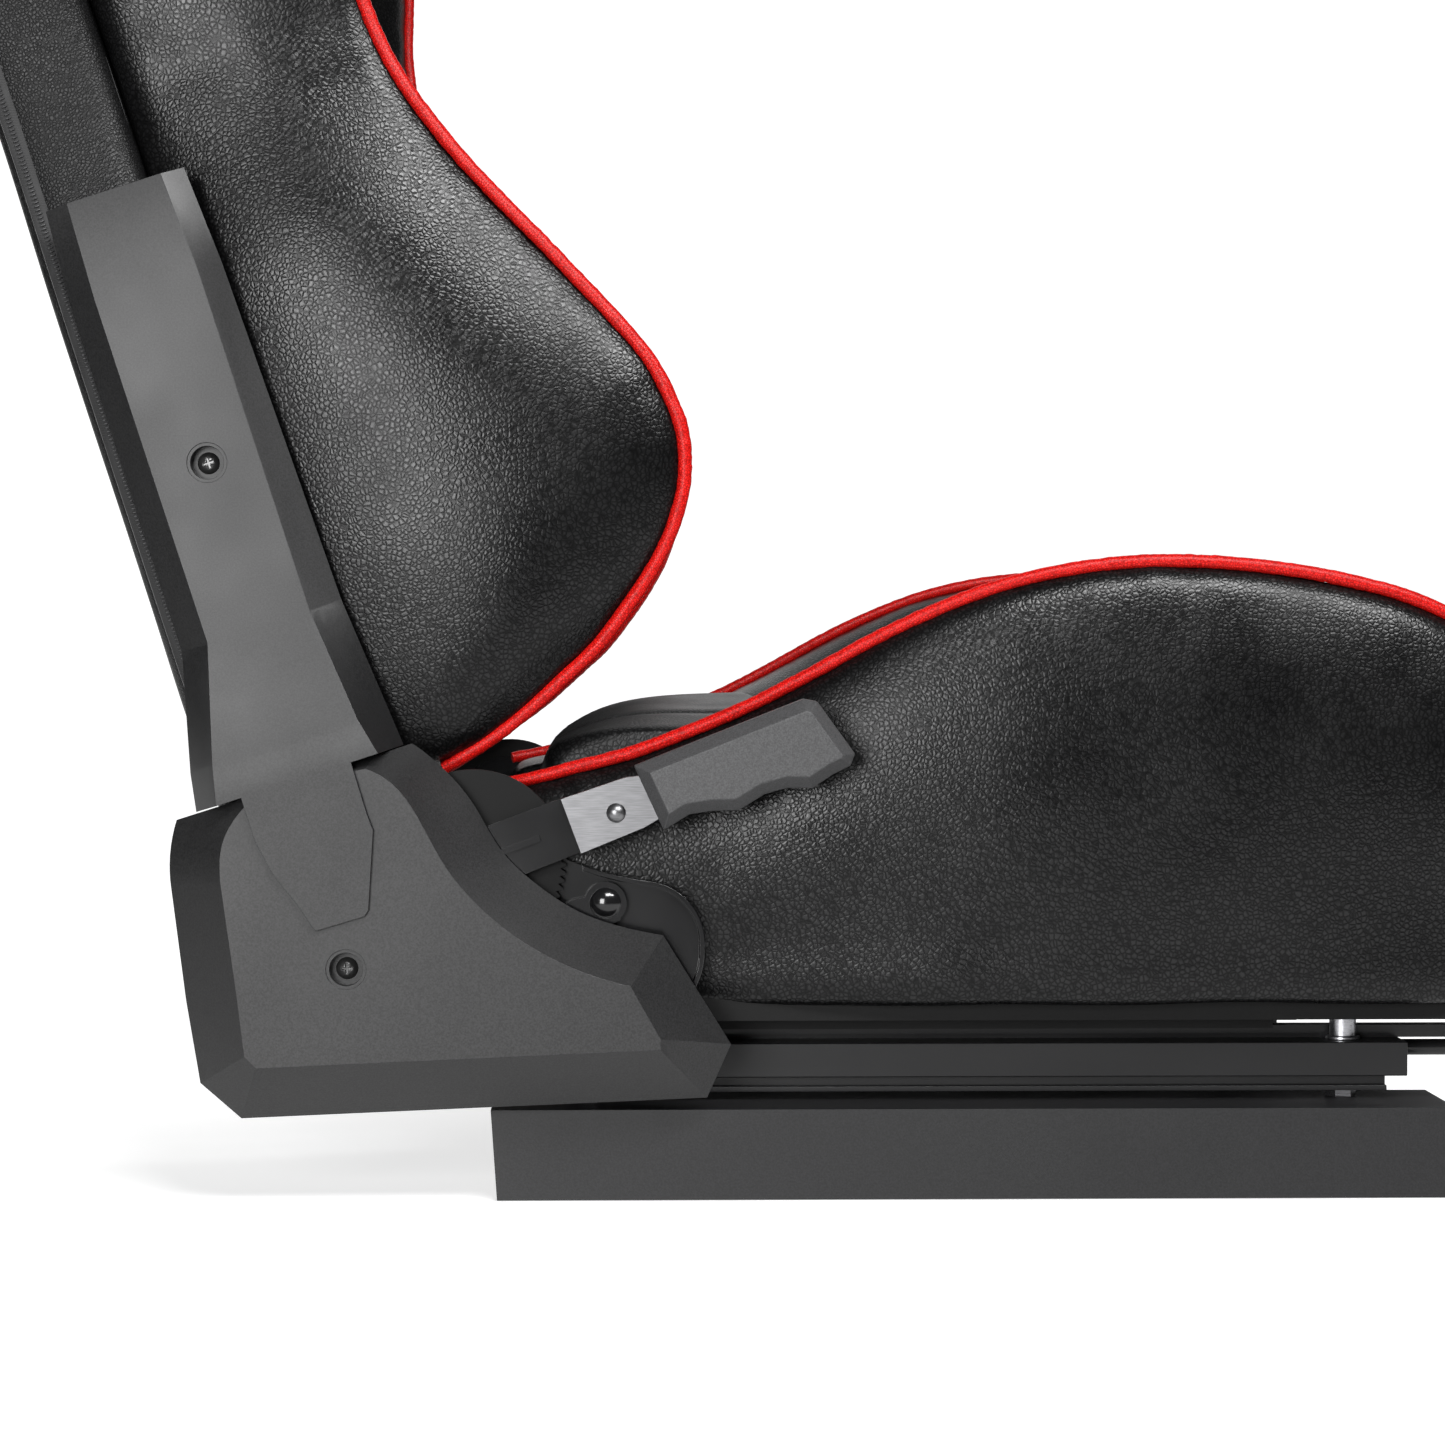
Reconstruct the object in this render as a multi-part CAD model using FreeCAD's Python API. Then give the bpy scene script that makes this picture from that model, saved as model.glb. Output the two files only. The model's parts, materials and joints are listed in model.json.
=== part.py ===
import FreeCAD, Part
import math
import os

from FreeCAD import Vector

# Reclining racing seat on slide rails and a low steel base, in millimetres.
# +X is the way the seat faces, +Y is the sitter's left, +Z is up.
# The origin is the centre of the four floor bolt holes, on the floor.

os.makedirs("parts", exist_ok=True)

RIGHT = -1
LEFT = 1
SIDES = {"right": RIGHT, "left": LEFT}

# Base, bolted to the floor.
BASE_X = 230.0
BASE_HALF_WIDTH = 250.0
BASE_HEIGHT = 43.0
BASE_SHEET = 3.0
BASE_TOP_FLANGE = 70.0
BASE_FLOOR_FLANGE = 45.0
BASE_REAR_SLOPE = 3.0
FLOOR_HOLE_X = 200.0
FLOOR_HOLE_Y = 225.0
FLOOR_HOLE_R = 4.5
CROSSBAR_X = 150.0
CROSSBAR_WIDE = 40.0
CROSSBAR_Z = (5.0, 38.0)
CROSSBAR_WALL = 2.0

# Slide rails.
RAIL_Y = 200.0
RAIL_LOWER_X = (-196.0, 204.0)
RAIL_UPPER_X = (-186.0, 214.0)
RAIL_BOTTOM = 47.0
RAIL_TOP = 70.6
RAIL_SHEET = 2.4
RAIL_OUTER_HALF = 15.0
RAIL_STUD_X = 184.0
ROLLER_X = (-70.0, 0.0, 70.0)
ROLLER_R = 9.1
ROLLER_HALF = 6.0

# Cushion frame and what joins it to the rails.
FRAME_BOLT_X = (-158.0, 185.0)
FRAME_BOTTOM = 84.0
FRAME_TUBE = 25.0
FRAME_WALL = 2.0
FRAME_X = (-215.0, 280.0)
FRAME_OUTER_Y = 238.0
FLANGE_X = (-140.0, 148.0)
FLANGE_LOW = 77.6
BOLT_R = 4.0
SPACER_R = 6.5
WASHER_R = 8.5
WASHER_T = 1.6
CARRIER_Y = (181.0, 193.0)
CARRIER_T = 6.0
STRAP_WIDE = 40.0
STRAP_REACH = 230.0
STRAP_T = 2.4
STRAP_X = (-130.0, -65.0, 0.0, 65.0, 130.0, 195.0)
STRAP_W = (130.0, 195.0, 260.0, 400.0, 470.0)

# Layers across one hinge, as distances from the centre plane.
BRACKET_Y = (246.0, 251.0)
ARM_Y = (252.0, 257.0)
LEVER_Y = (258.0, 262.0)
TAB_Y = (271.0, 275.0)
GRIP_Y = (264.0, 288.0)
RIM_Y = 264.0
COVER_FACE_Y = 290.0
TONGUE_Y = (290.3, 292.3)
COVER_WALL = 2.6
SCREW_DEPTH = 8.0

# Hinge and backrest.
PIVOT = Vector(-238.0, 0.0, 161.0)
LEAN = 18.0
PIVOT_R = 8.0
SECTOR_R = 44.0
TOOTH_DEPTH = 2.6
TOOTH_STEP = 5.0
PAWL_PIN = Vector(-175.4, 0.0, 141.8)
LEVER_RISE = 20.5
BACK_REAR = -110.0
PAD_REAR = -47.0
UPRIGHT_U = (-75.0, -50.0)
UPRIGHT_Y = (205.0, 230.0)

# Harness openings.
SLOT_CENTRE = (75.0, 622.0)
SLOT_SIZE = (84.0, 34.0)
BEZEL_WALL = 3.0
BEZEL_FLANGE = 11.0

# Cushion.
CUSHION_BOTTOM = 90.0
PAD_BOTTOM = 118.0
CENTRE_HALF = 172.0
NOSE_THICK = 15.0
PIPING_SIZE = 7.0
SKIRT_INNER = 239.0
# Height of the piped edge and outer half width along the cushion, from back to front.
CUSHION_EDGE = [(-234, 190), (-215, 197), (-192, 203), (-163, 210.5), (-135, 221), (-107, 233),
                (-78, 248), (-50, 263.5), (-22, 277), (7, 288.5), (35, 296), (64, 300.5), (92, 302),
                (120, 301), (149, 298), (177, 293), (206, 285.5), (232, 273), (256, 254), (276, 228),
                (290, 196), (297, 160)]
CUSHION_OUT = [(-234, 238), (-215, 244), (-128, 244.5), (-78, 252), (7, 258), (92, 260), (177, 258),
               (232, 254), (276, 246), (297, 236)]
CENTRE_TOP = [(-206, 214), (-180, 224), (-100, 226), (0, 228), (120, 234), (200, 236), (250, 228),
              (280, 205), (297, 160)]

# Hinge bracket and lever grip.
BRACKET_BOLT_X = (-215.0, -160.0)
BRACKET_BOLT_Z = 98.0
BRACKET_LIP = 2.4
GRIP_EDGE = [(87.5, 16.8), (172.5, 18.4), (178, 15), (186, -14), (182, -18.5), (173, -19.4), (161.8, -22.0),
             (151, -17.8), (140, -16.9), (126, -19.6), (114, -15.4), (103.8, -13.4), (90, -16.0)]

# Backrest frame.
ARM_BOLT_U = -62.0
ARM_BOLT_W = (170.0, 262.0)
ARM_HOLE_R = 5.2
ARM_SLEEVE_R = 8.0
UPRIGHT_W = (60.0, 560.0)
ZIP_U = (-106.0, -98.0)
ZIP_W = (120.0, 540.0)
ZIP_T = 1.6

# Along the backrest: how far its piped edge stands forward, and its half width there.
BACK_CREST = [(49, 2), (56, 30), (64, 52), (74, 80), (88, 100), (102, 118), (118, 134), (140, 149),
              (162, 155.5), (182, 155), (202, 151), (224, 142), (246, 131.5), (269, 120.5), (300, 105),
              (332, 91), (370, 79), (410, 75), (450, 81), (485, 92), (520, 101), (555, 103), (590, 95),
              (620, 80), (650, 62), (680, 46)]
BACK_HALF = [(40, 232), (60, 240), (100, 246), (200, 248), (300, 245), (370, 238), (410, 237), (450, 244),
             (500, 260), (540, 268), (580, 264), (620, 240), (650, 212), (680, 186), (720, 165), (760, 148),
             (785, 125), (800, 92), (806, 50)]
BACK_INNER = [(49, 168), (100, 160), (300, 152), (410, 152), (500, 160), (560, 160), (620, 148), (680, 140)]
CENTRE_FRONT = [(52, 4), (80, 16), (120, 27), (170, 32), (230, 28), (320, 20), (450, 16), (558, 18)]
HEAD_FRONT = [(560, 18), (620, 20), (652, 20), (690, 28), (740, 30), (775, 22), (800, 0), (806, -20)]
WING_START = 410.0

# Lower cover: rim outline and the matching corners of its flat face.
RIM_CURVE = [(-275.4, 223.0), (-252.4, 206.8), (-236.9, 188.5), (-224.2, 167.4), (-205.9, 150.0),
             (-187.6, 138.3), (-169.3, 131.7), (-148.2, 127.2)]
FACE_CURVE = [(-286.0, 206.5), (-269.4, 195.1), (-258.4, 177.7), (-247.8, 159.2), (-236.5, 145.5),
              (-222.7, 133.0), (-198.0, 117.5), (-163.5, 105.5)]
RIM_FOOT = [(-116.2, 75.8), (-127.5, 50.5), (-346.3, 41.3), (-365.5, 58.0), (-372.1, 97.0)]
FACE_FOOT = [(-149.6, 81.0), (-149.6, 75.9), (-336.9, 67.8), (-342.2, 73.2), (-345.4, 99.5)]
RIM_BACK = [(-378.9, 149.8), (-379.6, 160.5), (-378.4, 173.0), (-374.4, 186.6), (-367.5, 198.5),
            (-352.0, 212.0)]
FACE_BACK = [(-352.9, 153.2), (-353.3, 162.2), (-352.0, 171.9), (-348.0, 180.7), (-341.8, 188.8),
             (-331.0, 198.5)]

# Cover screws, and where the upper cover meets the lower one.
LOWER_SCREW = (-295.1, 113.6)
LOWER_SCREW_ARM = (-68.9, -27.5)
SCREW_HOLE_R = 3.1
UPPER_SCREW = (-59.0, 216.6)
UPPER_FACE_Y = 268.0
SHOULDER_W = 63.0

# Upper cover, in the upright backrest: height, rim from and to, face from and to, face distance.
UPPER_STATIONS = [(352, -95, -27, -84, -38, 262.0), (304.5, -98, -24, -85, -35, UPPER_FACE_Y),
                  (136.5, -99, -20, -85, -35, UPPER_FACE_Y), (81, -113, -15, -98, -27.7, TONGUE_Y[1]),
                  (SHOULDER_W, -116, -13.5, -102, -23.6, TONGUE_Y[1])]
TONGUE = [(-90, 66), (-90, 42), (-87, 25), (-81, 9), (-76.6, -6), (-53, -6.6), (-50.4, -4.5), (-36.8, 30),
          (-37.2, 38), (-36.7, 66)]
UPPER_RIM_Y = 257.6

# Slide release.
BAR_R = 4.0
BAR_Y = 174.0
BAR_Z = 63.6
BAR_BACK = 20.0
BAR_FRONT = 336.0
BAR_BEND = 40.0
HINGE_X = 60.0


# ---- small helpers -------------------------------------------------------

def box(x, y, z):
    """A block from three (low, high) pairs."""
    return Part.makeBox(x[1] - x[0], y[1] - y[0], z[1] - z[0], Vector(x[0], y[0], z[0]))


def across(side, near, far):
    """(low, high) in Y for a stretch between two distances from the centre plane."""
    return tuple(sorted((side * near, side * far)))


def cylinder_y(x, z, radius, side, near, far):
    """A cylinder along Y between two distances from the centre plane."""
    low, high = across(side, near, far)
    return Part.makeCylinder(radius, high - low, Vector(x, low, z), Vector(0, 1, 0))


def cylinder_z(x, y, radius, low, high):
    return Part.makeCylinder(radius, high - low, Vector(x, y, low), Vector(0, 0, 1))


def hexagon_z(x, y, across_flats, low, high):
    """A hexagonal prism along Z, as a nut or bolt head."""
    reach = across_flats / math.sqrt(3)
    turns = [math.radians(60 * i) for i in range(7)]
    ring = [Vector(x + reach * math.cos(t), y + reach * math.sin(t), low) for t in turns]
    return Part.Face(Part.makePolygon(ring)).extrude(Vector(0, 0, high - low))


def plate(points, side, near, far):
    """A flat plate: an outline of (x, z) points, between two distances from the centre plane."""
    ring = [Vector(x, side * near, z) for x, z in points]
    face = Part.Face(Part.makePolygon(ring + ring[:1]))
    return face.extrude(Vector(0, side * (far - near), 0))


def extrude_x(points, x):
    """A section of (y, z) points carried along X."""
    ring = [Vector(x[0], y, z) for y, z in points]
    return Part.Face(Part.makePolygon(ring + ring[:1])).extrude(Vector(x[1] - x[0], 0, 0))


def tube_z(outer_x, outer_y, z, wall, along):
    """A square tube of that outer size, hollow along the named axis."""
    outer = box(outer_x, outer_y, z)
    shrink = {name: wall for name in "xyz" if name != along}
    inner = [(low + shrink.get(name, -1), high - shrink.get(name, -1))
             for name, (low, high) in zip("xyz", (outer_x, outer_y, z))]
    return outer.cut(box(*inner))


def skin(sections):
    """A solid through closed rings of points, straight from ring to ring."""
    wires = [Part.makePolygon(ring + ring[:1]) for ring in sections]
    return Part.makeLoft(wires, True, True)


def fuse(shapes):
    whole = shapes[0]
    for shape in shapes[1:]:
        whole = whole.fuse(shape)
    return whole.removeSplitter()


def cut(shape, tools):
    for tool in tools:
        shape = shape.cut(tool)
    return shape


def lean(shape):
    """Carries a shape drawn upright about the hinge axis to the leaning backrest."""
    shape = shape.copy()
    shape.rotate(Vector(0, 0, 0), Vector(0, 1, 0), -LEAN)
    shape.translate(PIVOT)
    return shape


def inset(points, distance):
    """Moves a closed outline of points inwards by about that distance."""
    area = sum(a[0] * b[1] - b[0] * a[1] for a, b in zip(points, points[1:] + points[:1]))
    turn = 1 if area > 0 else -1
    moved = []
    for i, (x, z) in enumerate(points):
        (px, pz), (nx, nz) = points[i - 1], points[(i + 1) % len(points)]
        before = Vector(x - px, 0, z - pz).normalize()
        after = Vector(nx - x, 0, nz - z).normalize()
        normal = Vector(-(before.z + after.z), 0, before.x + after.x) * turn
        scale = distance / max(0.35, normal.Length / 2)
        normal.normalize()
        moved.append((x + normal.x * scale, z + normal.z * scale))
    return moved


def at_pairs(table, key):
    """A value between the (key, value) rows of a table."""
    for (k0, v0), (k1, v1) in zip(table, table[1:]):
        if key <= k1:
            share = (key - k0) / (k1 - k0)
            return v0 + (v1 - v0) * share
    return table[-1][1]


def save(name, shapes):
    """Writes one named node, as one solid or a group of them."""
    shapes = shapes if isinstance(shapes, list) else [shapes]
    solids = [solid for shape in shapes for solid in shape.Solids]
    bad = [solid for solid in solids if not solid.isValid() or solid.Volume <= 0]
    body = solids[0] if len(solids) == 1 else Part.makeCompound(solids)
    body.exportStep(f"parts/{name}.step")
    note = "  INVALID" if bad or not solids else ""
    print(f"{name:26s} solids {len(solids):2d}  volume {sum(s.Volume for s in solids):11.0f}{note}")


# ---- base and slide rails ------------------------------------------------

def base_side(side):
    """A folded channel that stands on the floor and carries one slide."""
    out, sheet, top = BASE_HALF_WIDTH, BASE_SHEET, BASE_HEIGHT
    section = [(out, 0), (out, top), (out - BASE_TOP_FLANGE, top),
               (out - BASE_TOP_FLANGE, top - sheet), (out - sheet, top - sheet),
               (out - sheet, sheet), (out - BASE_FLOOR_FLANGE, sheet),
               (out - BASE_FLOOR_FLANGE, 0)]
    shape = extrude_x([(side * y, z) for y, z in section], (-BASE_X, BASE_X))
    wedge = [(-BASE_X - 1, -1), (-BASE_X + BASE_REAR_SLOPE, -1), (-BASE_X, top), (-BASE_X - 1, top)]
    shape = shape.cut(plate(wedge, side, out - BASE_TOP_FLANGE - 1, out + 1))
    for x in (-FLOOR_HOLE_X, FLOOR_HOLE_X):
        shape = shape.cut(cylinder_z(x, side * FLOOR_HOLE_Y, FLOOR_HOLE_R, -1, sheet + 1))
    for x in (-RAIL_STUD_X, RAIL_STUD_X):
        shape = shape.cut(cylinder_z(x, side * RAIL_Y, BOLT_R + 0.3, top - sheet - 1, top + 1))
    return shape


def base_crossbars():
    reach = BASE_HALF_WIDTH - BASE_SHEET
    half = CROSSBAR_WIDE / 2
    return [tube_z((x - half, x + half), (-reach, reach), CROSSBAR_Z, CROSSBAR_WALL, "y")
            for x in (-CROSSBAR_X, CROSSBAR_X)]


def rail_section(side, points):
    """Mirrors a half section about the rail's own middle and sets it on one side."""
    whole = points + [(-y, z) for y, z in reversed(points)]
    return [(side * RAIL_Y + y, z) for y, z in whole]


def rail_lower(side):
    """A channel with walls turned out at the top, bolted to the base."""
    low, sheet = RAIL_BOTTOM, RAIL_SHEET
    half = [(0, low), (14, low), (14, low + sheet), (9.5, low + sheet), (9.5, 61.6), (12, 61.6),
            (12, 63.8), (7.4, 63.8), (7.4, low + sheet), (0, low + sheet)]
    shape = extrude_x(rail_section(side, half), RAIL_LOWER_X)
    for x in (-RAIL_STUD_X, RAIL_STUD_X):
        shape = shape.cut(cylinder_z(x, side * RAIL_Y, BOLT_R + 0.2, low - 1, low + sheet + 1))
    return shape


def rail_upper(side):
    """A channel that wraps the lower rail, with lips under its turned-out walls."""
    top, sheet, out = RAIL_TOP, RAIL_SHEET, RAIL_OUTER_HALF
    half = [(0, top), (out, top), (out, 54.0), (10.4, 54.0), (10.4, 56.2), (12.6, 56.2),
            (12.6, top - sheet), (0, top - sheet)]
    shape = extrude_x(rail_section(side, half), RAIL_UPPER_X)
    for x in FRAME_BOLT_X:
        shape = shape.cut(cylinder_z(x, side * RAIL_Y, BOLT_R + 0.2, top - sheet - 1, top + 1))
    return shape


def rail_base_bolts():
    """Studs with a nut above and below the base flange, under each end of the lower rails."""
    made = []
    for side in SIDES.values():
        for x in (-RAIL_STUD_X, RAIL_STUD_X):
            y = side * RAIL_Y
            head = cylinder_z(x, y, 7.0, RAIL_BOTTOM + RAIL_SHEET, RAIL_BOTTOM + RAIL_SHEET + 1.2)
            shank = cylinder_z(x, y, BOLT_R, 32.0, RAIL_BOTTOM + RAIL_SHEET)
            collar = hexagon_z(x, y, 13.0, BASE_HEIGHT, RAIL_BOTTOM)
            nut = hexagon_z(x, y, 13.0, 33.5, BASE_HEIGHT - BASE_SHEET)
            made.append(fuse([head, shank, collar, nut]))
    return made


def slide_rollers():
    middle = (RAIL_BOTTOM + RAIL_SHEET + RAIL_TOP - RAIL_SHEET) / 2
    return [cylinder_y(x, middle, ROLLER_R, side, RAIL_Y - ROLLER_HALF, RAIL_Y + ROLLER_HALF)
            for side in SIDES.values() for x in ROLLER_X]


# ---- cushion frame -------------------------------------------------------

def frame_bolts():
    """Studs up from the upper rails, each with its nut inside the crossbar."""
    made = []
    for side in SIDES.values():
        for x in FRAME_BOLT_X:
            y = side * RAIL_Y
            disc = cylinder_z(x, y, 6.5, RAIL_TOP - RAIL_SHEET - 1.2, RAIL_TOP - RAIL_SHEET)
            shank = cylinder_z(x, y, BOLT_R, RAIL_TOP - RAIL_SHEET, 95.0)
            made.append(fuse([disc, shank]))
            nut = hexagon_z(x, y, 13.0, FRAME_BOTTOM + FRAME_WALL, FRAME_BOTTOM + FRAME_WALL + 6.5)
            made.append(nut.cut(cylinder_z(x, y, BOLT_R + 0.1, FRAME_BOTTOM, 100.0)))
    return made


def frame_spacers():
    """Washers and spacer tubes between the upper rails and the cushion frame."""
    made = []
    for side in SIDES.values():
        for x in FRAME_BOLT_X:
            y = side * RAIL_Y
            bore = cylinder_z(x, y, BOLT_R + 0.2, RAIL_TOP - 1, FRAME_BOTTOM + 1)
            seat = RAIL_TOP + WASHER_T
            made.append(cylinder_z(x, y, WASHER_R, RAIL_TOP, seat).cut(bore))
            made.append(cylinder_z(x, y, SPACER_R, seat, FRAME_BOTTOM).cut(bore))
        made.append(cylinder_z(268.0, side * 187.0, SPACER_R, RAIL_TOP + CARRIER_T, FRAME_BOTTOM))
    return made


def carrier_bar(side):
    """A flat bar on the upper rail that reaches forward under the front of the cushion."""
    y = across(side, *CARRIER_Y)
    bar = box((RAIL_UPPER_X[0], 296.0), y, (RAIL_TOP, RAIL_TOP + CARRIER_T))
    for x in FRAME_BOLT_X:
        bar = bar.cut(cylinder_z(x, side * RAIL_Y, WASHER_R + 0.5, RAIL_TOP - 1, RAIL_TOP + 10))
    return bar


def cushion_rail(side):
    y = across(side, FRAME_OUTER_Y - FRAME_TUBE, FRAME_OUTER_Y)
    z = (FRAME_BOTTOM, FRAME_BOTTOM + FRAME_TUBE)
    rail = tube_z(FRAME_X, y, z, FRAME_WALL, "x")
    inner = FRAME_OUTER_Y - FRAME_TUBE
    hanging = box(FLANGE_X, across(side, inner, inner + 3), (FLANGE_LOW, z[0]))
    rail = rail.fuse(hanging).removeSplitter()
    for x in BRACKET_BOLT_X:
        rail = rail.cut(cylinder_y(x, BRACKET_BOLT_Z, 5.2, side, FRAME_OUTER_Y - 10, FRAME_OUTER_Y + 1))
    return rail


def cushion_crossbars():
    reach = FRAME_OUTER_Y - FRAME_TUBE
    bars = []
    for x in FRAME_BOLT_X:
        bar = tube_z((x - 15, x + 15), (-reach, reach), (FRAME_BOTTOM, FRAME_BOTTOM + 20), FRAME_WALL, "y")
        for side in SIDES.values():
            bar = bar.cut(cylinder_z(x, side * RAIL_Y, BOLT_R + 0.2, FRAME_BOTTOM - 1, FRAME_BOTTOM + 3))
        bars.append(bar)
    z = (FRAME_BOTTOM, FRAME_BOTTOM + FRAME_TUBE)
    bars.append(tube_z((255.0, 280.0), (-reach, reach), z, FRAME_WALL, "y"))
    return bars


def cushion_straps():
    """Elastic straps stretched across the frame under the foam."""
    top = FRAME_BOTTOM + FRAME_TUBE
    half = STRAP_WIDE / 2
    return [box((x - half, x + half), (-STRAP_REACH, STRAP_REACH), (top, top + STRAP_T)) for x in STRAP_X]


# ---- cushion -------------------------------------------------------------

def cushion_centre():
    """The seat foam between the bolsters, with its nose down over the front crossbar."""
    front, rear = CENTRE_TOP[-1][0], CENTRE_TOP[0][0]
    nose = [(front, CUSHION_BOTTOM), (front - NOSE_THICK, CUSHION_BOTTOM), (front - NOSE_THICK, PAD_BOTTOM)]
    return plate(CENTRE_TOP + nose + [(rear, PAD_BOTTOM)], 1, -CENTRE_HALF, CENTRE_HALF)


def cushion_bolster(side):
    """One side bolster: foam above the frame and a skirt outside it."""
    rings = []
    for x, top in CUSHION_EDGE:
        out = at_pairs(CUSHION_OUT, x)
        inner_top = min(at_pairs(CENTRE_TOP, max(x, -206)), top - 4)
        ring = [(CENTRE_HALF, PAD_BOTTOM), (CENTRE_HALF, inner_top), (out - 26, top), (out - 8, top - 4),
                (out, top - 40 if top > 175 else top - 20), (out - 1, CUSHION_BOTTOM),
                (min(SKIRT_INNER, out - 4), CUSHION_BOTTOM), (min(SKIRT_INNER, out - 4), PAD_BOTTOM)]
        rings.append([Vector(x, side * y, z) for y, z in ring])
    shape = skin(rings)
    shape = shape.cut(box((-250, -205), across(side, 160, 234), (100, 240)))
    for x in BRACKET_BOLT_X:
        shape = shape.cut(cylinder_y(x, BRACKET_BOLT_Z, 9.0, side, 230, 262))
    return shape


def piping(path):
    """A square-edged run of piping through points, one ring at each."""
    half = PIPING_SIZE / 2
    rings = []
    for x, y, z, flat in path:
        if flat == "x":
            ring = [(0, -half, -half), (0, half, -half), (0, half, half), (0, -half, half)]
        else:
            ring = [(-half, -half, 0), (half, -half, 0), (half, half, 0), (-half, half, 0)]
        rings.append([Vector(x + dx, y + dy, z + dz) for dx, dy, dz in ring])
    return skin(rings)


def cushion_piping(side):
    rise = PIPING_SIZE / 2 + 0.3
    path = [(x, side * (at_pairs(CUSHION_OUT, x) - 6), top + rise, "x") for x, top in CUSHION_EDGE]
    return piping(path)


# ---- hinge ---------------------------------------------------------------

def bracket_edge():
    """Outline of the hinge bracket: round the pivot, down the front in one sweep, flat at the foot."""
    points = [Vector(-272, 0, 90), Vector(-272, 0, 161), Vector(-262, 0, 185), Vector(-238, 0, 195),
              Vector(-214, 0, 183), Vector(-193, 0, 162)]
    edges = [Part.makeLine(points[0], points[1])]
    edges.append(Part.Arc(points[1], points[2], points[3]).toShape())
    edges.append(Part.makeLine(points[3], points[4]))
    edges.append(Part.makeLine(points[4], points[5]))
    edges.append(Part.Arc(points[5], Vector(-172, 0, 155.2), Vector(-152, 0, 151.5)).toShape())
    edges.append(Part.Arc(Vector(-152, 0, 151.5), Vector(-133.5, 0, 139), Vector(-128.5, 0, 120)).toShape())
    edges.append(Part.Arc(Vector(-128.5, 0, 120), Vector(-131.5, 0, 104), Vector(-142, 0, 90)).toShape())
    edges.append(Part.makeLine(Vector(-142, 0, 90), points[0]))
    return Part.Wire(edges)


def recliner_bracket(side):
    """Pressed steel bracket bolted to the cushion frame, with a lip along its front edge."""
    edge = bracket_edge()
    near, far = BRACKET_Y
    body = Part.Face(edge).extrude(Vector(0, side * (far - near), 0))
    body.translate(Vector(0, side * near, 0))
    rim = Part.Face(edge).cut(Part.Face(edge.makeOffset2D(-BRACKET_LIP)))
    rim = rim.extrude(Vector(0, side * (BRACKET_LIP + 1), 0))
    rim.translate(Vector(0, side * (far - 1), 0))
    front = box((-186.0, -100.0), across(side, 240, 260), (100.0, 170.0))
    body = body.fuse(rim.common(front)).removeSplitter()
    holes = [cylinder_y(PIVOT.x, PIVOT.z, PIVOT_R + 0.05, side, near - 1, far + 1)]
    holes += [cylinder_y(x, BRACKET_BOLT_Z, 5.2, side, near - 1, far + 1) for x in BRACKET_BOLT_X]
    if side == RIGHT:
        holes.append(cylinder_y(PAWL_PIN.x, PAWL_PIN.z, 4.1, side, near - 1, far + 1))
    return cut(body, holes)


def recliner_bolts():
    """Bolts through the brackets and the skirt into the frame tube, with a spacer behind the bracket."""
    made = []
    for side in SIDES.values():
        for x in BRACKET_BOLT_X:
            shank = cylinder_y(x, BRACKET_BOLT_Z, 5.0, side, 228, BRACKET_Y[1])
            sleeve = cylinder_y(x, BRACKET_BOLT_Z, 8.0, side, FRAME_OUTER_Y, BRACKET_Y[0])
            made.append(fuse([shank, sleeve]))
    return made


def pivot_pin(side):
    """Shouldered hinge pin, held in the bracket, with a flange inside and a head outside."""
    seat, head_r, head_t = (LEVER_Y[1], 8.6, 2.2) if side == RIGHT else (ARM_Y[1], 12.0, 3.0)
    shank = cylinder_y(PIVOT.x, PIVOT.z, PIVOT_R - 0.05, side, 245.8, seat + 0.3)
    flange = cylinder_y(PIVOT.x, PIVOT.z, 12.0, side, 244.6, BRACKET_Y[0] - 0.1)
    head = cylinder_y(PIVOT.x, PIVOT.z, head_r, side, seat + 0.3, seat + 0.3 + head_t)
    return fuse([shank, flange, head])


def recliner_arm(side):
    """Backrest plate with a toothed sector round the pivot."""
    near, far = ARM_Y
    strap = box((-85.0, -35.0), across(side, near, far), (-38.0, 290.0))
    disc = cylinder_y(0, 0, SECTOR_R, side, near, far)
    body = strap.fuse(disc).removeSplitter()
    holes = [(0, 0, PIVOT_R + 0.1), (*UPPER_SCREW, SCREW_HOLE_R), (*LOWER_SCREW_ARM, SCREW_HOLE_R)]
    holes += [(ARM_BOLT_U, w, ARM_HOLE_R) for w in ARM_BOLT_W]
    tools = [cylinder_y(u, w, radius, side, near - 1, far + 1) for u, w, radius in holes]
    for i in range(15):
        turn = math.radians(-82 + TOOTH_STEP * i)
        ring = []
        for reach, spread in ((SECTOR_R - TOOTH_DEPTH, 0.0), (SECTOR_R + 1, 1.9), (SECTOR_R + 1, -1.9)):
            angle = turn + spread / SECTOR_R
            ring.append((reach * math.cos(angle), reach * math.sin(angle)))
        tools.append(plate(ring, side, near - 1, far + 1))
    return lean(cut(body, tools))


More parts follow.
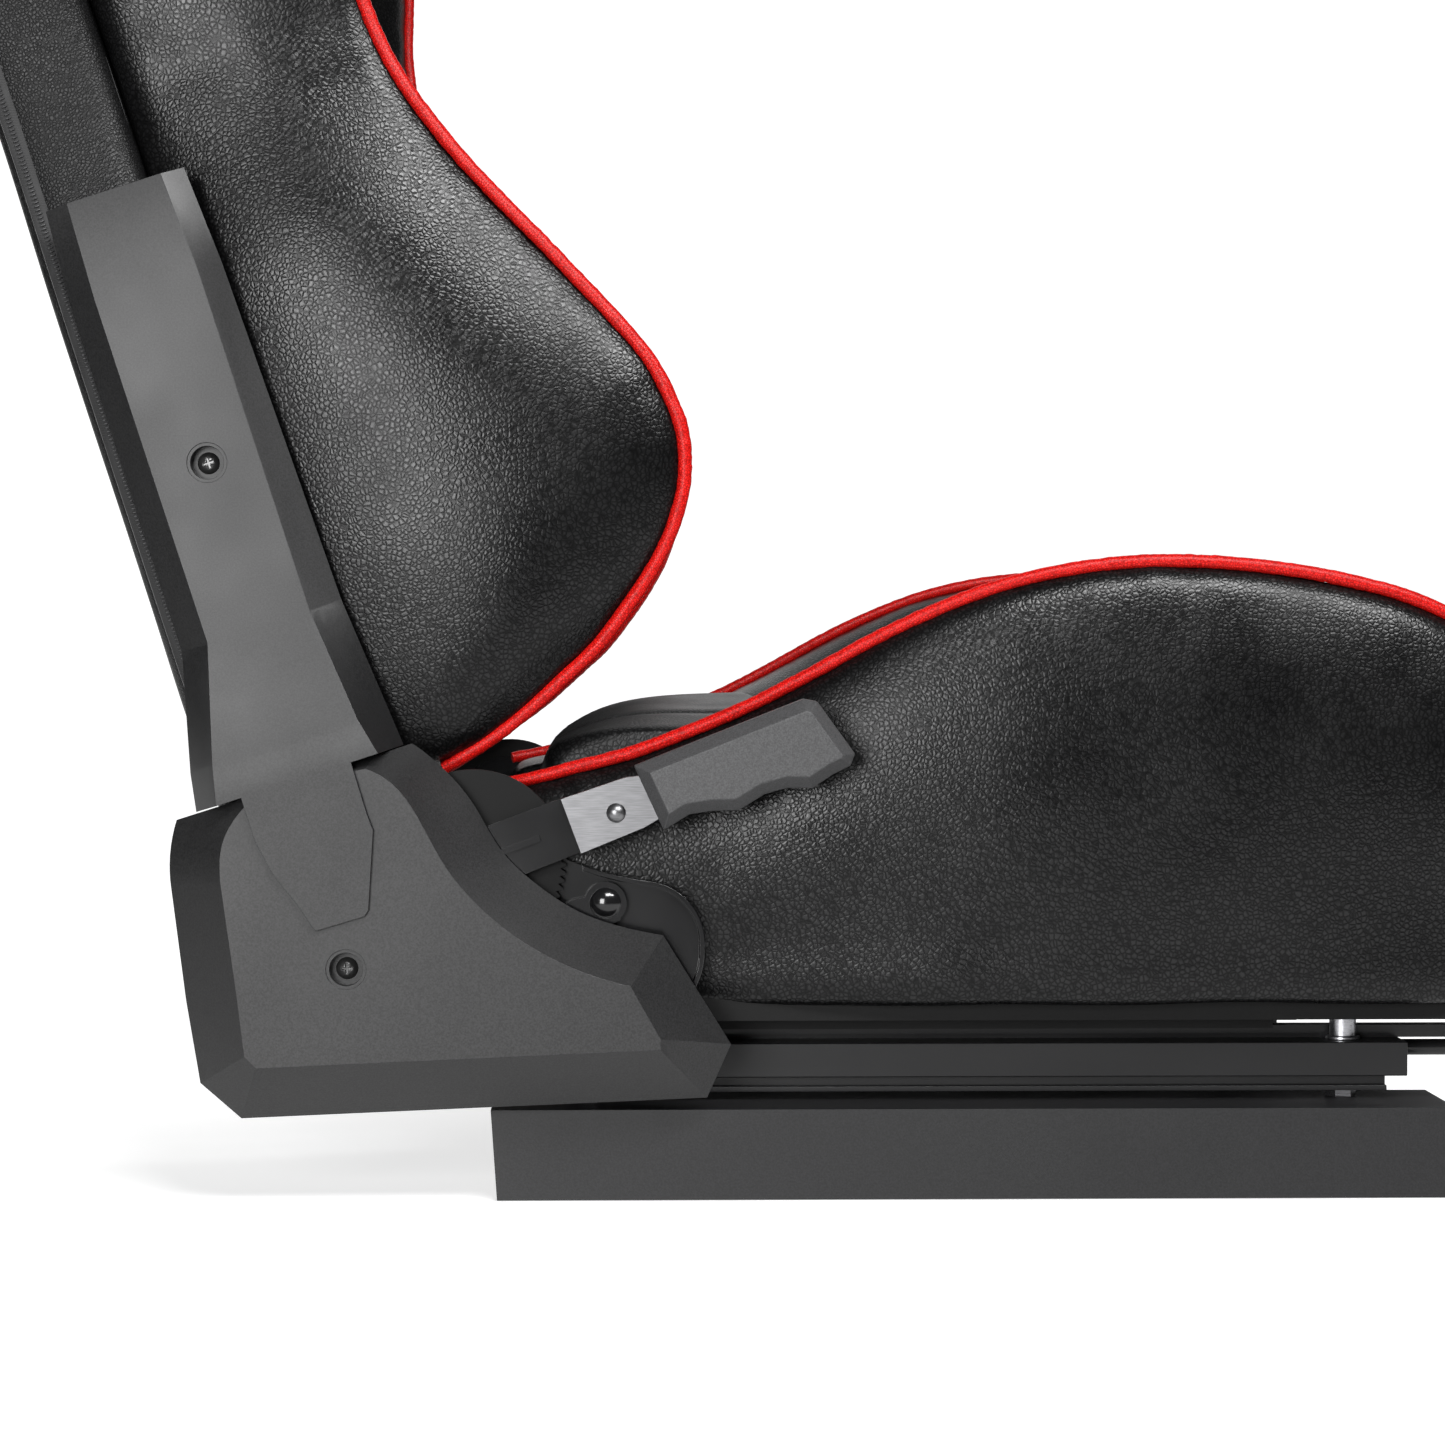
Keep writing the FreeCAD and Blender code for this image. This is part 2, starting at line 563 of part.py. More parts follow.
def pawl():
    """Locking pawl that swings out of the sector when the lever is lifted."""
    near, far = ARM_Y
    tip = math.radians(-50)
    toe = [(PIVOT.x + r * math.cos(tip + a), PIVOT.z + r * math.sin(tip + a))
           for r, a in ((56, -0.2), (43, -0.22), (43, 0.2))]
    arm = plate(toe + [(-192, 143), (-170, 148), (-168, 134), (-197, 119)], RIGHT, near, far)
    arm = arm.fuse(cylinder_y(PAWL_PIN.x, PAWL_PIN.z, 10.0, RIGHT, near, far)).removeSplitter()
    room = cylinder_y(PIVOT.x, PIVOT.z, SECTOR_R + 0.5, RIGHT, near - 1, far + 1)
    pin = cylinder_y(PAWL_PIN.x, PAWL_PIN.z, 4.0, RIGHT, 245.0, far)
    head = dome_y(PAWL_PIN.x, PAWL_PIN.z, 7.4, 3.4, RIGHT, far)
    return fuse([arm.cut(room), pin, head])


def dome_y(x, z, radius, height, side, start):
    """A round dome standing outwards from a distance off the centre plane."""
    sphere_r = (radius ** 2 + height ** 2) / (2 * height)
    ball = Part.makeSphere(sphere_r, Vector(x, side * (start + height - sphere_r), z))
    keep = cylinder_y(x, z, radius + 1, side, start, start + height + 1)
    return ball.common(keep)


def lever_point(a, b):
    """A point along and across the lever, from the pivot."""
    rise = math.radians(LEVER_RISE)
    along, up = math.cos(rise), math.sin(rise)
    return (PIVOT.x + a * along - b * up, PIVOT.z + a * up + b * along)


def lever_plate(points, near, far):
    return plate([lever_point(a, b) for a, b in points], RIGHT, near, far)


def recline_lever():
    """Steel lever: an eye on the pivot, a step outwards, and a tab into the grip."""
    near, far = LEVER_Y
    eye = cylinder_y(PIVOT.x, PIVOT.z, 18.0, RIGHT, near, far)
    arm = lever_plate([(0, 14), (0, -14), (48, -13), (54, -13), (54, 14)], near, far)
    step = lever_plate([(50, -13), (54, -13), (54, 14), (50, 14)], near, TAB_Y[1])
    below = [(50, -13), (82, -12), (110, -7), (150, -7)]
    above = [(150, 6), (110, 6), (82, 13), (50, 14)]
    tab = lever_plate(below + above, *TAB_Y)
    bore = cylinder_y(PIVOT.x, PIVOT.z, PIVOT_R + 0.1, RIGHT, near - 1, far + 1)
    rivet_hole = cylinder_y(*rivet_place(), 2.6, RIGHT, 265, 285)
    return cut(fuse([eye, arm, step, tab]), [bore, rivet_hole])


def rivet_place():
    return lever_point(72, -1)


def lever_rivet():
    x, z = rivet_place()
    shank = cylinder_y(x, z, 2.5, RIGHT, TAB_Y[0] - 1.5, TAB_Y[1])
    tail = cylinder_y(x, z, 3.8, RIGHT, TAB_Y[0] - 1.5, TAB_Y[0] - 0.01)
    return fuse([shank, tail, dome_y(x, z, 4.6, 2.6, RIGHT, TAB_Y[1])])


def lever_grip():
    """Moulded grip: straight along the top, finger waves below, with bevelled edges on both faces."""
    near, far = GRIP_Y
    bevel = 5.5
    small = inset(GRIP_EDGE, bevel)

    def ring(points, depth):
        return [Vector(x, RIGHT * depth, z) for x, z in (lever_point(a, b) for a, b in points)]

    body = skin([ring(inset(GRIP_EDGE, 4.0), near), ring(GRIP_EDGE, near + 5), ring(GRIP_EDGE, far - 7),
                 ring(small, far)])
    pocket = lever_plate([(80, -12.6), (110.5, -7.5), (151, -7.5), (151, 6.5), (110.5, 6.5), (80, 13.4)],
                         TAB_Y[0] - 0.3, TAB_Y[1] + 0.3)
    return body.cut(pocket)


def lever_spring():
    """Flat return spring: a ring round the head of the pivot pin, and a leg bent on to the lever."""
    near, far = LEVER_Y[1] + 0.3, LEVER_Y[1] + 1.8
    outer = cylinder_y(PIVOT.x, PIVOT.z, 11.4, RIGHT, near, far)
    ring = outer.cut(cylinder_y(PIVOT.x, PIVOT.z, 9.0, RIGHT, near - 1, far + 1))
    leg = lever_plate([(10, -1.5), (34, -1.5), (34, 1.5), (10, 1.5)], near, far)
    foot = lever_plate([(31, -1.5), (34, -1.5), (34, 1.5), (31, 1.5)], LEVER_Y[1], far)
    return fuse([ring, leg, foot])


# ---- backrest ------------------------------------------------------------

def back_bolster(side, low, high):
    """A stretch of side bolster between two heights, from the frame to the piped edge."""
    rings = []
    stations = [low] + [w for w, _ in BACK_CREST if low < w < high] + [high]
    for w in stations:
        crest = at_pairs(BACK_CREST, w)
        out = at_pairs(BACK_HALF, w)
        inner = at_pairs(BACK_INNER, w)
        front = min(at_pairs(CENTRE_FRONT, w) if w < 558 else 18, crest - 3)
        mid = (crest + PAD_REAR) / 2
        ring = [(PAD_REAR, inner), (PAD_REAR, out), (mid, out + 3), (crest - 8, out - 2), (crest, out - 12),
                (crest - 3, out - 32 if out - 32 > inner + 6 else inner + 6), (front, inner)]
        rings.append([Vector(u, side * y, w) for u, y in ring])
    return lean(skin(rings))


def slot_hole(side, grow):
    """The harness opening as a block through the whole backrest."""
    y, w = SLOT_CENTRE
    wide, tall = SLOT_SIZE[0] / 2 + grow, SLOT_SIZE[1] / 2 + grow
    block = box((-130, 60), across(side, y - wide, y + wide), (w - tall, w + tall))
    edges = [e for e in block.Edges if abs(e.tangentAt(e.FirstParameter).x) > 0.99]
    return block.makeFillet(min(wide, tall) * 0.8, edges)


def back_centre():
    """The back foam between the bolsters."""
    low, high = CENTRE_FRONT[0][0], CENTRE_FRONT[-1][0]
    heights = [w for w, _ in CENTRE_FRONT] + [w for w, _ in BACK_INNER if low < w < high]
    rings = []
    for w in sorted(set(heights)):
        front = at_pairs(CENTRE_FRONT, w)
        half = at_pairs(BACK_INNER, w) - 1.0
        ring = [(PAD_REAR, -half), (front, -half), (front + 4, 0), (front, half), (PAD_REAR, half)]
        rings.append([Vector(u, y, w) for u, y in ring])
    return lean(skin(rings))


def head_pad():
    """The top of the backrest, with the two harness openings."""
    rings = []
    for w, front in HEAD_FRONT:
        half = min(at_pairs(BACK_INNER, w) - 0.3 if w < 680 else at_pairs(BACK_HALF, w), 140)
        ring = [(PAD_REAR, -half), (front, -half), (front + 3, 0), (front, half), (PAD_REAR, half)]
        rings.append([Vector(u, y, w) for u, y in ring])
    shape = skin(rings)
    return lean(cut(shape, [slot_hole(side, BEZEL_WALL + 0.3) for side in SIDES.values()]))


def back_outline(grow):
    """Front outline of the backrest as (y, w) points, from bottom left to bottom right."""
    half = [(y + grow, w) for w, y in BACK_HALF]
    half[0] = (half[0][0], half[0][1] - grow)
    half[-1] = (half[-1][0], half[-1][1] + grow)
    return half + [(-y, w) for y, w in reversed(half)]


def back_shell():
    """Rear cover of the backrest: a tray with a flat back and side walls round the frame."""
    def block(grow, u):
        ring = [Vector(u[0], y, w) for y, w in back_outline(grow)]
        return Part.Face(Part.makePolygon(ring + ring[:1])).extrude(Vector(u[1] - u[0], 0, 0))

    tray = block(0, (BACK_REAR, PAD_REAR - 1.5)).cut(block(-5, (BACK_REAR + 4, 0)))
    tools = [slot_hole(side, BEZEL_WALL + 0.3) for side in SIDES.values()]
    for side in SIDES.values():
        for w in ARM_BOLT_W:
            tools.append(cylinder_y(ARM_BOLT_U, w, ARM_SLEEVE_R + 0.3, side, 225, 265))
    return lean(cut(tray, tools))


def harness_bezel(side):
    """Moulded sleeve through the backrest, with a flange front and back."""
    y, w = SLOT_CENTRE
    stretches = [(BEZEL_WALL, BACK_REAR - 2, 26), (BEZEL_FLANGE, 24.5, 28),
                 (BEZEL_FLANGE, BACK_REAR - 3.5, BACK_REAR - 0.3)]
    rings = [slot_hole(side, grow).common(box((low, high), (-300, 300), (500, 720)))
             for grow, low, high in stretches]
    return lean(fuse(rings).cut(slot_hole(side, 0)))


def back_upright(side):
    """Frame tube that the hinge arm is bolted to."""
    tube = tube_z(UPRIGHT_U, across(side, *UPRIGHT_Y), UPRIGHT_W, FRAME_WALL, "z")
    for w in ARM_BOLT_W:
        outer = UPRIGHT_Y[1]
        tube = tube.cut(cylinder_y(ARM_BOLT_U, w, ARM_HOLE_R, side, outer - 10, outer + 10))
    return lean(tube)


def back_crossbars():
    """Tubes between the uprights, and the hoop that holds up the head pad."""
    reach = UPRIGHT_Y[0]
    bars = [tube_z(UPRIGHT_U, (-reach, reach), (w - 10, w + 10), FRAME_WALL, "y") for w in (80, 330, 550)]
    for side in SIDES.values():
        bars.append(tube_z((-72, -54), across(side, 126, 138), (560.2, 700), 1.5, "z"))
    bars.append(tube_z((-72, -54), (-138, 138), (700.2, 718), 1.5, "y"))
    return [lean(bar) for bar in bars]


def back_straps():
    half = STRAP_WIDE / 2
    front = UPRIGHT_U[1]
    return [lean(box((front, front + STRAP_T), (-STRAP_REACH, STRAP_REACH), (w - half, w + half)))
            for w in STRAP_W]


def arm_bolts():
    """Bolts and sleeves that hold the hinge arms to the uprights."""
    made = []
    for side in SIDES.values():
        for w in ARM_BOLT_W:
            shank = cylinder_y(ARM_BOLT_U, w, 5.0, side, 222, ARM_Y[1])
            sleeve = cylinder_y(ARM_BOLT_U, w, ARM_SLEEVE_R, side, UPRIGHT_Y[1], ARM_Y[0])
            head = cylinder_y(ARM_BOLT_U, w, 8.5, side, ARM_Y[1], ARM_Y[1] + 5)
            made.append(lean(fuse([shank, sleeve, head])))
    return made


def back_piping(side):
    """Piping along the bolster's forward edge, then round the head."""
    path = []
    for w, crest in BACK_CREST:
        path.append((crest + 2.5, side * (at_pairs(BACK_HALF, w) - 3), w, "z"))
    for w in (720, 760, 785, 800):
        front = at_pairs(HEAD_FRONT, w)
        path.append((front + 2.0, side * (at_pairs(BACK_HALF, w) + 4), w, "z"))
    return lean(piping(path))


def zip_strip():
    """Zip down the back seam on both sides, lying on the rear cover."""
    made = []
    low, high = ZIP_W
    heights = [low] + [w for w, _ in BACK_HALF if low < w < high] + [high]
    for side in SIDES.values():
        rings = []
        for w in heights:
            out = at_pairs(BACK_HALF, w) + 0.1
            corners = [(ZIP_U[0], out), (ZIP_U[1], out), (ZIP_U[1], out + ZIP_T), (ZIP_U[0], out + ZIP_T)]
            rings.append([Vector(u, side * y, w) for u, y in corners])
        made.append(lean(skin(rings)))
    return made


# ---- hinge covers --------------------------------------------------------

def cover_ring(curve, foot, back, depth, side):
    """One closed edge of the lower cover: a sweep in front, straight edges below, a sweep behind."""
    def at(points):
        return [Vector(x, side * depth, z) for x, z in points]

    front = Part.BSplineCurve()
    front.interpolate(at(curve))
    rear = Part.BSplineCurve()
    rear.interpolate(at(back))
    straight = at([curve[-1]] + foot + [back[0]])
    edges = [front.toShape()]
    edges += [Part.makeLine(a, b) for a, b in zip(straight, straight[1:])]
    edges.append(rear.toShape())
    edges.append(Part.makeLine(at(back)[-1], at(curve)[0]))
    return Part.Wire(edges)


def cover_block(side, shrink, near, far):
    """The lower cover's outside shape, or a smaller one for its hollow."""
    rims = (RIM_CURVE, RIM_FOOT, RIM_BACK)
    faces = (FACE_CURVE, FACE_FOOT, FACE_BACK)
    rings = []
    for parts, depth in ((rims, near), (faces, far)):
        points = [p for part in parts for p in part]
        if shrink:
            points = inset(points, shrink)
        one = len(parts[0])
        two = one + len(parts[1])
        rings.append(cover_ring(points[:one], points[one:two], points[two:], depth, side))
    return Part.makeLoft(rings, True, True)


def screw_post(x, z, side, face):
    """Post inside a cover that carries a sunk screw."""
    return cylinder_y(x, z, 10.5, side, ARM_Y[1] + 0.1, face - 0.5)


def screw_holes(x, z, side, face):
    """The sunk hole for a cover screw: a step at the face, the pocket and the shank hole."""
    step = cylinder_y(x, z, 9.4, side, face - 0.7, face + 5)
    pocket = cylinder_y(x, z, 7.8, side, face - SCREW_DEPTH, face + 5)
    return [step, pocket, cylinder_y(x, z, SCREW_HOLE_R, side, ARM_Y[1] - 5, face)]


def lower_cover(side):
    """Moulded shell over the hinge, open on the seat side."""
    shell = cover_block(side, 0, RIM_Y, COVER_FACE_Y)
    hollow = cover_block(side, COVER_WALL, RIM_Y - 0.5, COVER_FACE_Y - COVER_WALL)
    shell = shell.cut(hollow)
    x, z = LOWER_SCREW
    shell = shell.fuse(screw_post(x, z, side, COVER_FACE_Y)).removeSplitter()
    above = lean(box((-200, 100), across(side, 200, 330), (SHOULDER_W - 0.6, 200)))
    return cut(shell, screw_holes(x, z, side, COVER_FACE_Y) + [above])


def upper_block(side, wall):
    rings = []
    stations = UPPER_STATIONS
    for i, (w, rim_low, rim_high, face_low, face_high, depth) in enumerate(stations):
        if wall and i == 0:
            w -= wall * 2
        if wall and i == len(stations) - 1:
            w += wall
        near = UPPER_RIM_Y - (1 if wall else 0)
        deep = max(depth - wall, near + 1)
        ring = [(rim_low + wall, near), (face_low + wall * 0.6, deep), (face_high - wall * 0.6, deep),
                (rim_high - wall, near)]
        rings.append([Vector(u, side * y, w) for u, y in ring])
    parts = [skin([a, b]) for a, b in zip(rings, rings[1:])]
    return fuse(parts)


def upper_cover(side):
    """Moulded strap cover up the backrest, with a tongue that laps over the lower cover."""
    u, w = UPPER_SCREW
    shell = upper_block(side, 0).cut(upper_block(side, COVER_WALL))
    tongue = plate(TONGUE, side, *TONGUE_Y)
    shell = fuse([shell, tongue, screw_post(u, w, side, UPPER_FACE_Y)])
    bolt_room = [cylinder_y(ARM_BOLT_U, bolt, 9.5, side, ARM_Y[1] - 1, ARM_Y[1] + 6) for bolt in ARM_BOLT_W]
    return lean(cut(shell, screw_holes(u, w, side, UPPER_FACE_Y) + bolt_room))


def cover_screw(x, z, side, face):
    """Pan head screw with a cross recess, sunk in its post."""
    seat = face - SCREW_DEPTH
    shank = cylinder_y(x, z, 2.9, side, ARM_Y[0] + 0.2, seat)
    head = dome_y(x, z, 5.3, 3.0, side, seat)
    cross = [box((x - 2.6, x + 2.6), across(side, seat + 1.4, seat + 4), (z - 0.6, z + 0.6)),
             box((x - 0.6, x + 0.6), across(side, seat + 1.4, seat + 4), (z - 2.6, z + 2.6))]
    return cut(fuse([shank, head]), cross)


def cover_screws():
    made = []
    for side in SIDES.values():
        made.append(cover_screw(*LOWER_SCREW, side, COVER_FACE_Y))
        made.append(lean(cover_screw(*UPPER_SCREW, side, UPPER_FACE_Y)))
    return made


# ---- slide release -------------------------------------------------------

def towel_bar():
    """One round bar bent into a U, from the latch of one slide round to the other."""
    def arc(start, middle, end):
        return Part.Arc(start, middle, end).toShape()

    corner = BAR_BEND * (1 - math.sqrt(0.5))
    edges = []
    ends = {}
    for side in (RIGHT, LEFT):
        y = side * BAR_Y
        back = Vector(BAR_BACK, y, BAR_Z)
        bend_in = Vector(BAR_FRONT - BAR_BEND, y, BAR_Z)
        bend_mid = Vector(BAR_FRONT - corner, y - side * corner, BAR_Z)
        bend_out = Vector(BAR_FRONT, y - side * BAR_BEND, BAR_Z)
        ends[side] = (back, bend_in, bend_mid, bend_out)
    back, bend_in, bend_mid, bend_out = ends[RIGHT]
    edges += [Part.makeLine(back, bend_in), arc(bend_in, bend_mid, bend_out)]
    edges.append(Part.makeLine(bend_out, ends[LEFT][3]))
    back, bend_in, bend_mid, bend_out = ends[LEFT]
    edges += [arc(bend_out, bend_mid, bend_in), Part.makeLine(bend_in, back)]
    path = Part.Wire(edges)
    ring = Part.Wire(Part.makeCircle(BAR_R, ends[RIGHT][0], Vector(1, 0, 0)))
    return path.makePipeShell([ring], True, True)


def bar_sleeve():
    outer = Part.makeCylinder(8.0, 150, Vector(BAR_FRONT, -75, BAR_Z), Vector(0, 1, 0))
    return outer.cut(Part.makeCylinder(BAR_R, 152, Vector(BAR_FRONT, -76, BAR_Z), Vector(0, 1, 0)))


def latch_plates():
    """Toothed latch on the back end of each arm of the release bar."""
    made = []
    for side in SIDES.values():
        body = box((-8, BAR_BACK), across(side, BAR_Y - 4, BAR_Y + 9.5), (BAR_Z - 9, BAR_Z + 5))
        for x in (-4, 2, 8, 14):
            body = body.cut(box((x, x + 2.5), across(side, BAR_Y + 5, BAR_Y + 10), (BAR_Z - 10, BAR_Z - 3)))
        made.append(body)
    return made


def bar_clips():
    """Clip on the inner wall of each upper rail that the release bar turns in."""
    made = []
    for side in SIDES.values():
        clip = box((HINGE_X - 7, HINGE_X + 7), across(side, BAR_Y - 7, RAIL_Y - RAIL_OUTER_HALF),
                   (BAR_Z - 6.5, BAR_Z + 6.5))
        slot = Part.makeCylinder(BAR_R + 1.2, 20, Vector(HINGE_X - 10, side * BAR_Y, BAR_Z), Vector(1, 0, 0))
        made.append(clip.cut(slot))
    return made


def main():
    save("base_crossbars", base_crossbars())
    save("rail_base_bolts", rail_base_bolts())
    save("slide_rollers", slide_rollers())
    save("frame_bolts", frame_bolts())
    save("frame_spacers", frame_spacers())
    save("cushion_crossbars", cushion_crossbars())
    save("cushion_straps", cushion_straps())
    save("cushion_centre", cushion_centre())
    save("recliner_bolts", recliner_bolts())
    save("pawl", pawl())
    save("recline_lever", recline_lever())
    save("lever_grip", lever_grip())
    save("lever_rivet", lever_rivet())
    save("lever_spring", lever_spring())
    save("back_centre", back_centre())
    save("head_pad", head_pad())
    save("back_shell", back_shell())
    save("back_crossbars", back_crossbars())
    save("back_straps", back_straps())
    save("arm_bolts", arm_bolts())
    save("zip_strip", zip_strip())
    save("cover_screws", cover_screws())
    save("towel_bar", towel_bar())
    save("bar_sleeve", bar_sleeve())
    save("latch_plates", latch_plates())
    save("bar_clips", bar_clips())
    save("pivot_pins", [pivot_pin(side) for side in SIDES.values()])
    for name, side in SIDES.items():
        save(f"base_side_{name}", base_side(side))
        save(f"rail_lower_{name}", rail_lower(side))
        save(f"rail_upper_{name}", rail_upper(side))
        save(f"carrier_bar_{name}", carrier_bar(side))
        save(f"cushion_rail_{name}", cushion_rail(side))
        save(f"cushion_bolster_{name}", cushion_bolster(side))
        save(f"cushion_piping_{name}", cushion_piping(side))
        save(f"recliner_bracket_{name}", recliner_bracket(side))
        save(f"recliner_arm_{name}", recliner_arm(side))
        save(f"back_upright_{name}", back_upright(side))
        save(f"back_bolster_{name}", back_bolster(side, BACK_CREST[0][0], WING_START))
        save(f"shoulder_wing_{name}", back_bolster(side, WING_START, BACK_CREST[-1][0]))
        save(f"back_piping_{name}", back_piping(side))
        save(f"harness_bezel_{name}", harness_bezel(side))
        save(f"lower_cover_{name}", lower_cover(side))
        save(f"upper_cover_{name}", upper_cover(side))


main()
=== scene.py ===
import bpy
import bmesh
import math
import json
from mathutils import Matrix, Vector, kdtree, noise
from mathutils.bvhtree import BVHTree


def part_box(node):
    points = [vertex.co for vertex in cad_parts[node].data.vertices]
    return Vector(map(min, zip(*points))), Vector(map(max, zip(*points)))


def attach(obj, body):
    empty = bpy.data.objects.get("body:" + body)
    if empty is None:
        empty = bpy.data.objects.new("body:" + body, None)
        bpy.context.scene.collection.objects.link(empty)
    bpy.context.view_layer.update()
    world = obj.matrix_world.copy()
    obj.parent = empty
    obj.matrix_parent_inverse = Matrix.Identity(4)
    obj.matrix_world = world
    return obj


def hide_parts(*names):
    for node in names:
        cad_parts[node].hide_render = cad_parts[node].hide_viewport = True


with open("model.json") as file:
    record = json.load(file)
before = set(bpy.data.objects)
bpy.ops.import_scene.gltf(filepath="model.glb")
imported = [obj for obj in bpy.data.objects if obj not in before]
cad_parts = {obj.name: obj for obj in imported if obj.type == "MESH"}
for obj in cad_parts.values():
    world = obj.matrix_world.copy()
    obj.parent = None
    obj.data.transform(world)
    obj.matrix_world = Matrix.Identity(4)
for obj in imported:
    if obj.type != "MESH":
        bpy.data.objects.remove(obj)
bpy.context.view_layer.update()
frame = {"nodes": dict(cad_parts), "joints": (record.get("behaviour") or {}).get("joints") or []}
mm = 0.001
joints = {j["name"]: j for j in frame["joints"]}
pivot = Vector(joints["backrest_recline"]["pos_m"])
leanAngle = math.radians(18)   # how far the backrest leans at rest
sides = {"right": -1, "left": 1}


# smooth way from start to end, leaving and arriving with the given pulls
def curveBetween(start, startPull, end, endPull, t):
    return ((2*t**3 - 3*t**2 + 1) * start + (t**3 - 2*t**2 + t) * startPull
            + (-2*t**3 + 3*t**2) * end + (t**3 - t**2) * endPull)


# smooth value between (key, value) rows
def at(table, key):
    if key <= table[0][0]:
        return table[0][1]
    for i in range(len(table) - 1):
        k0, v0 = table[i]
        k1, v1 = table[i + 1]
        if key <= k1:
            before = table[i - 1] if i else (2 * k0 - k1, 2 * v0 - v1)
            after = table[i + 2] if i + 2 < len(table) else (2 * k1 - k0, 2 * v1 - v0)
            t = (key - k0) / (k1 - k0)
            m0 = (v1 - before[1]) / (k1 - before[0]) * (k1 - k0)
            m1 = (after[1] - v0) / (after[0] - k0) * (k1 - k0)
            return curveBetween(v0, m0, v1, m1, t)
    return table[-1][1]


# 0 below low, 1 above high and eased between them
def ramp(low, high, value):
    t = min(1.0, max(0.0, (value - low) / (high - low)))
    return t * t * (3 - 2 * t)


# backrest place in mm (forward, left, up the back) to metres in the row frame
def leaned(u, y, w):
    c, s = math.cos(leanAngle), math.sin(leanAngle)
    return Vector((pivot.x + (u * c - w * s) * mm, y * mm, pivot.z + (u * s + w * c) * mm))


def placed(x, y, z):
    return Vector((x, y, z)) * mm


def newObject(name, data):
    thing = bpy.data.objects.new(name, data)
    bpy.context.scene.collection.objects.link(thing)
    return thing


def newPiece(name, verts, faces, material, body):
    mesh = bpy.data.meshes.new(name)
    mesh.from_pydata([tuple(v) for v in verts], [], faces)
    return fromMesh(name, mesh, material, body)


def fromMesh(name, mesh, material, body):
    piece = newObject(name, mesh)
    mesh.materials.clear()
    mesh.materials.append(material)
    mesh.polygons.foreach_set("use_smooth", [True] * len(mesh.polygons))
    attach(piece, body)
    return piece


def tidyNormals(piece):
    mergeGap = 0.02 * mm
    bm = bmesh.new()
    bm.from_mesh(piece.data)
    bmesh.ops.remove_doubles(bm, verts=bm.verts, dist=mergeGap)
    bmesh.ops.recalc_face_normals(bm, faces=bm.faces)
    bm.to_mesh(piece.data)
    bm.free()


# bakes a piece's modifiers into its own mesh
def applied(piece):
    bpy.context.view_layer.update()
    graph = bpy.context.evaluated_depsgraph_get()
    baked = bpy.data.meshes.new_from_object(piece.evaluated_get(graph), depsgraph=graph)
    old = piece.data
    piece.modifiers.clear()
    piece.data = baked
    bpy.data.meshes.remove(old)
    return piece


def newMaterial(name):
    mat = bpy.data.materials.new(name)
    mat.use_nodes = True
    tree = mat.node_tree
    shader = tree.nodes["Principled BSDF"]
    place = tree.nodes.new("ShaderNodeTexCoord").outputs["Object"]
    return mat, tree, shader, place


def textureNode(tree, kind, place, scale, **values):
    node = tree.nodes.new(kind)
    node.inputs["Scale"].default_value = scale
    for key, value in values.items():
        if key == "feature":
            node.feature = value
        else:
            node.inputs[key].default_value = value
    tree.links.new(place, node.inputs["Vector"])
    return node


def rangeNode(tree, source, fromLow, fromHigh, toLow, toHigh):
    node = tree.nodes.new("ShaderNodeMapRange")
    for key, value in (("From Min", fromLow), ("From Max", fromHigh), ("To Min", toLow), ("To Max", toHigh)):
        node.inputs[key].default_value = value
    tree.links.new(source, node.inputs["Value"])
    return node.outputs["Result"]


def mathNode(tree, operation, *values):
    node = tree.nodes.new("ShaderNodeMath")
    node.operation = operation
    for socket, value in zip(node.inputs, values):
        if hasattr(value, "is_output"):
            tree.links.new(value, socket)
        else:
            socket.default_value = value
    return node.outputs[0]


def bumpNode(tree, height, distance, strength, normal=None):
    node = tree.nodes.new("ShaderNodeBump")
    node.inputs["Distance"].default_value = distance
    node.inputs["Strength"].default_value = strength
    tree.links.new(height, node.inputs["Height"])
    if normal:
        tree.links.new(normal, node.inputs["Normal"])
    return node.outputs["Normal"]


def colourBetween(tree, factor, dark, light):
    node = tree.nodes.new("ShaderNodeMix")
    node.data_type = "RGBA"
    node.inputs[6].default_value = (*dark, 1)
    node.inputs[7].default_value = (*light, 1)
    tree.links.new(factor, node.inputs[0])
    return node.outputs[2]


# roughness that wanders with a noise
def roughBetween(tree, shader, wander, low, high):
    roughness = rangeNode(tree, wander.outputs["Fac"], 0.3, 0.7, low, high)
    tree.links.new(roughness, shader.inputs["Roughness"])


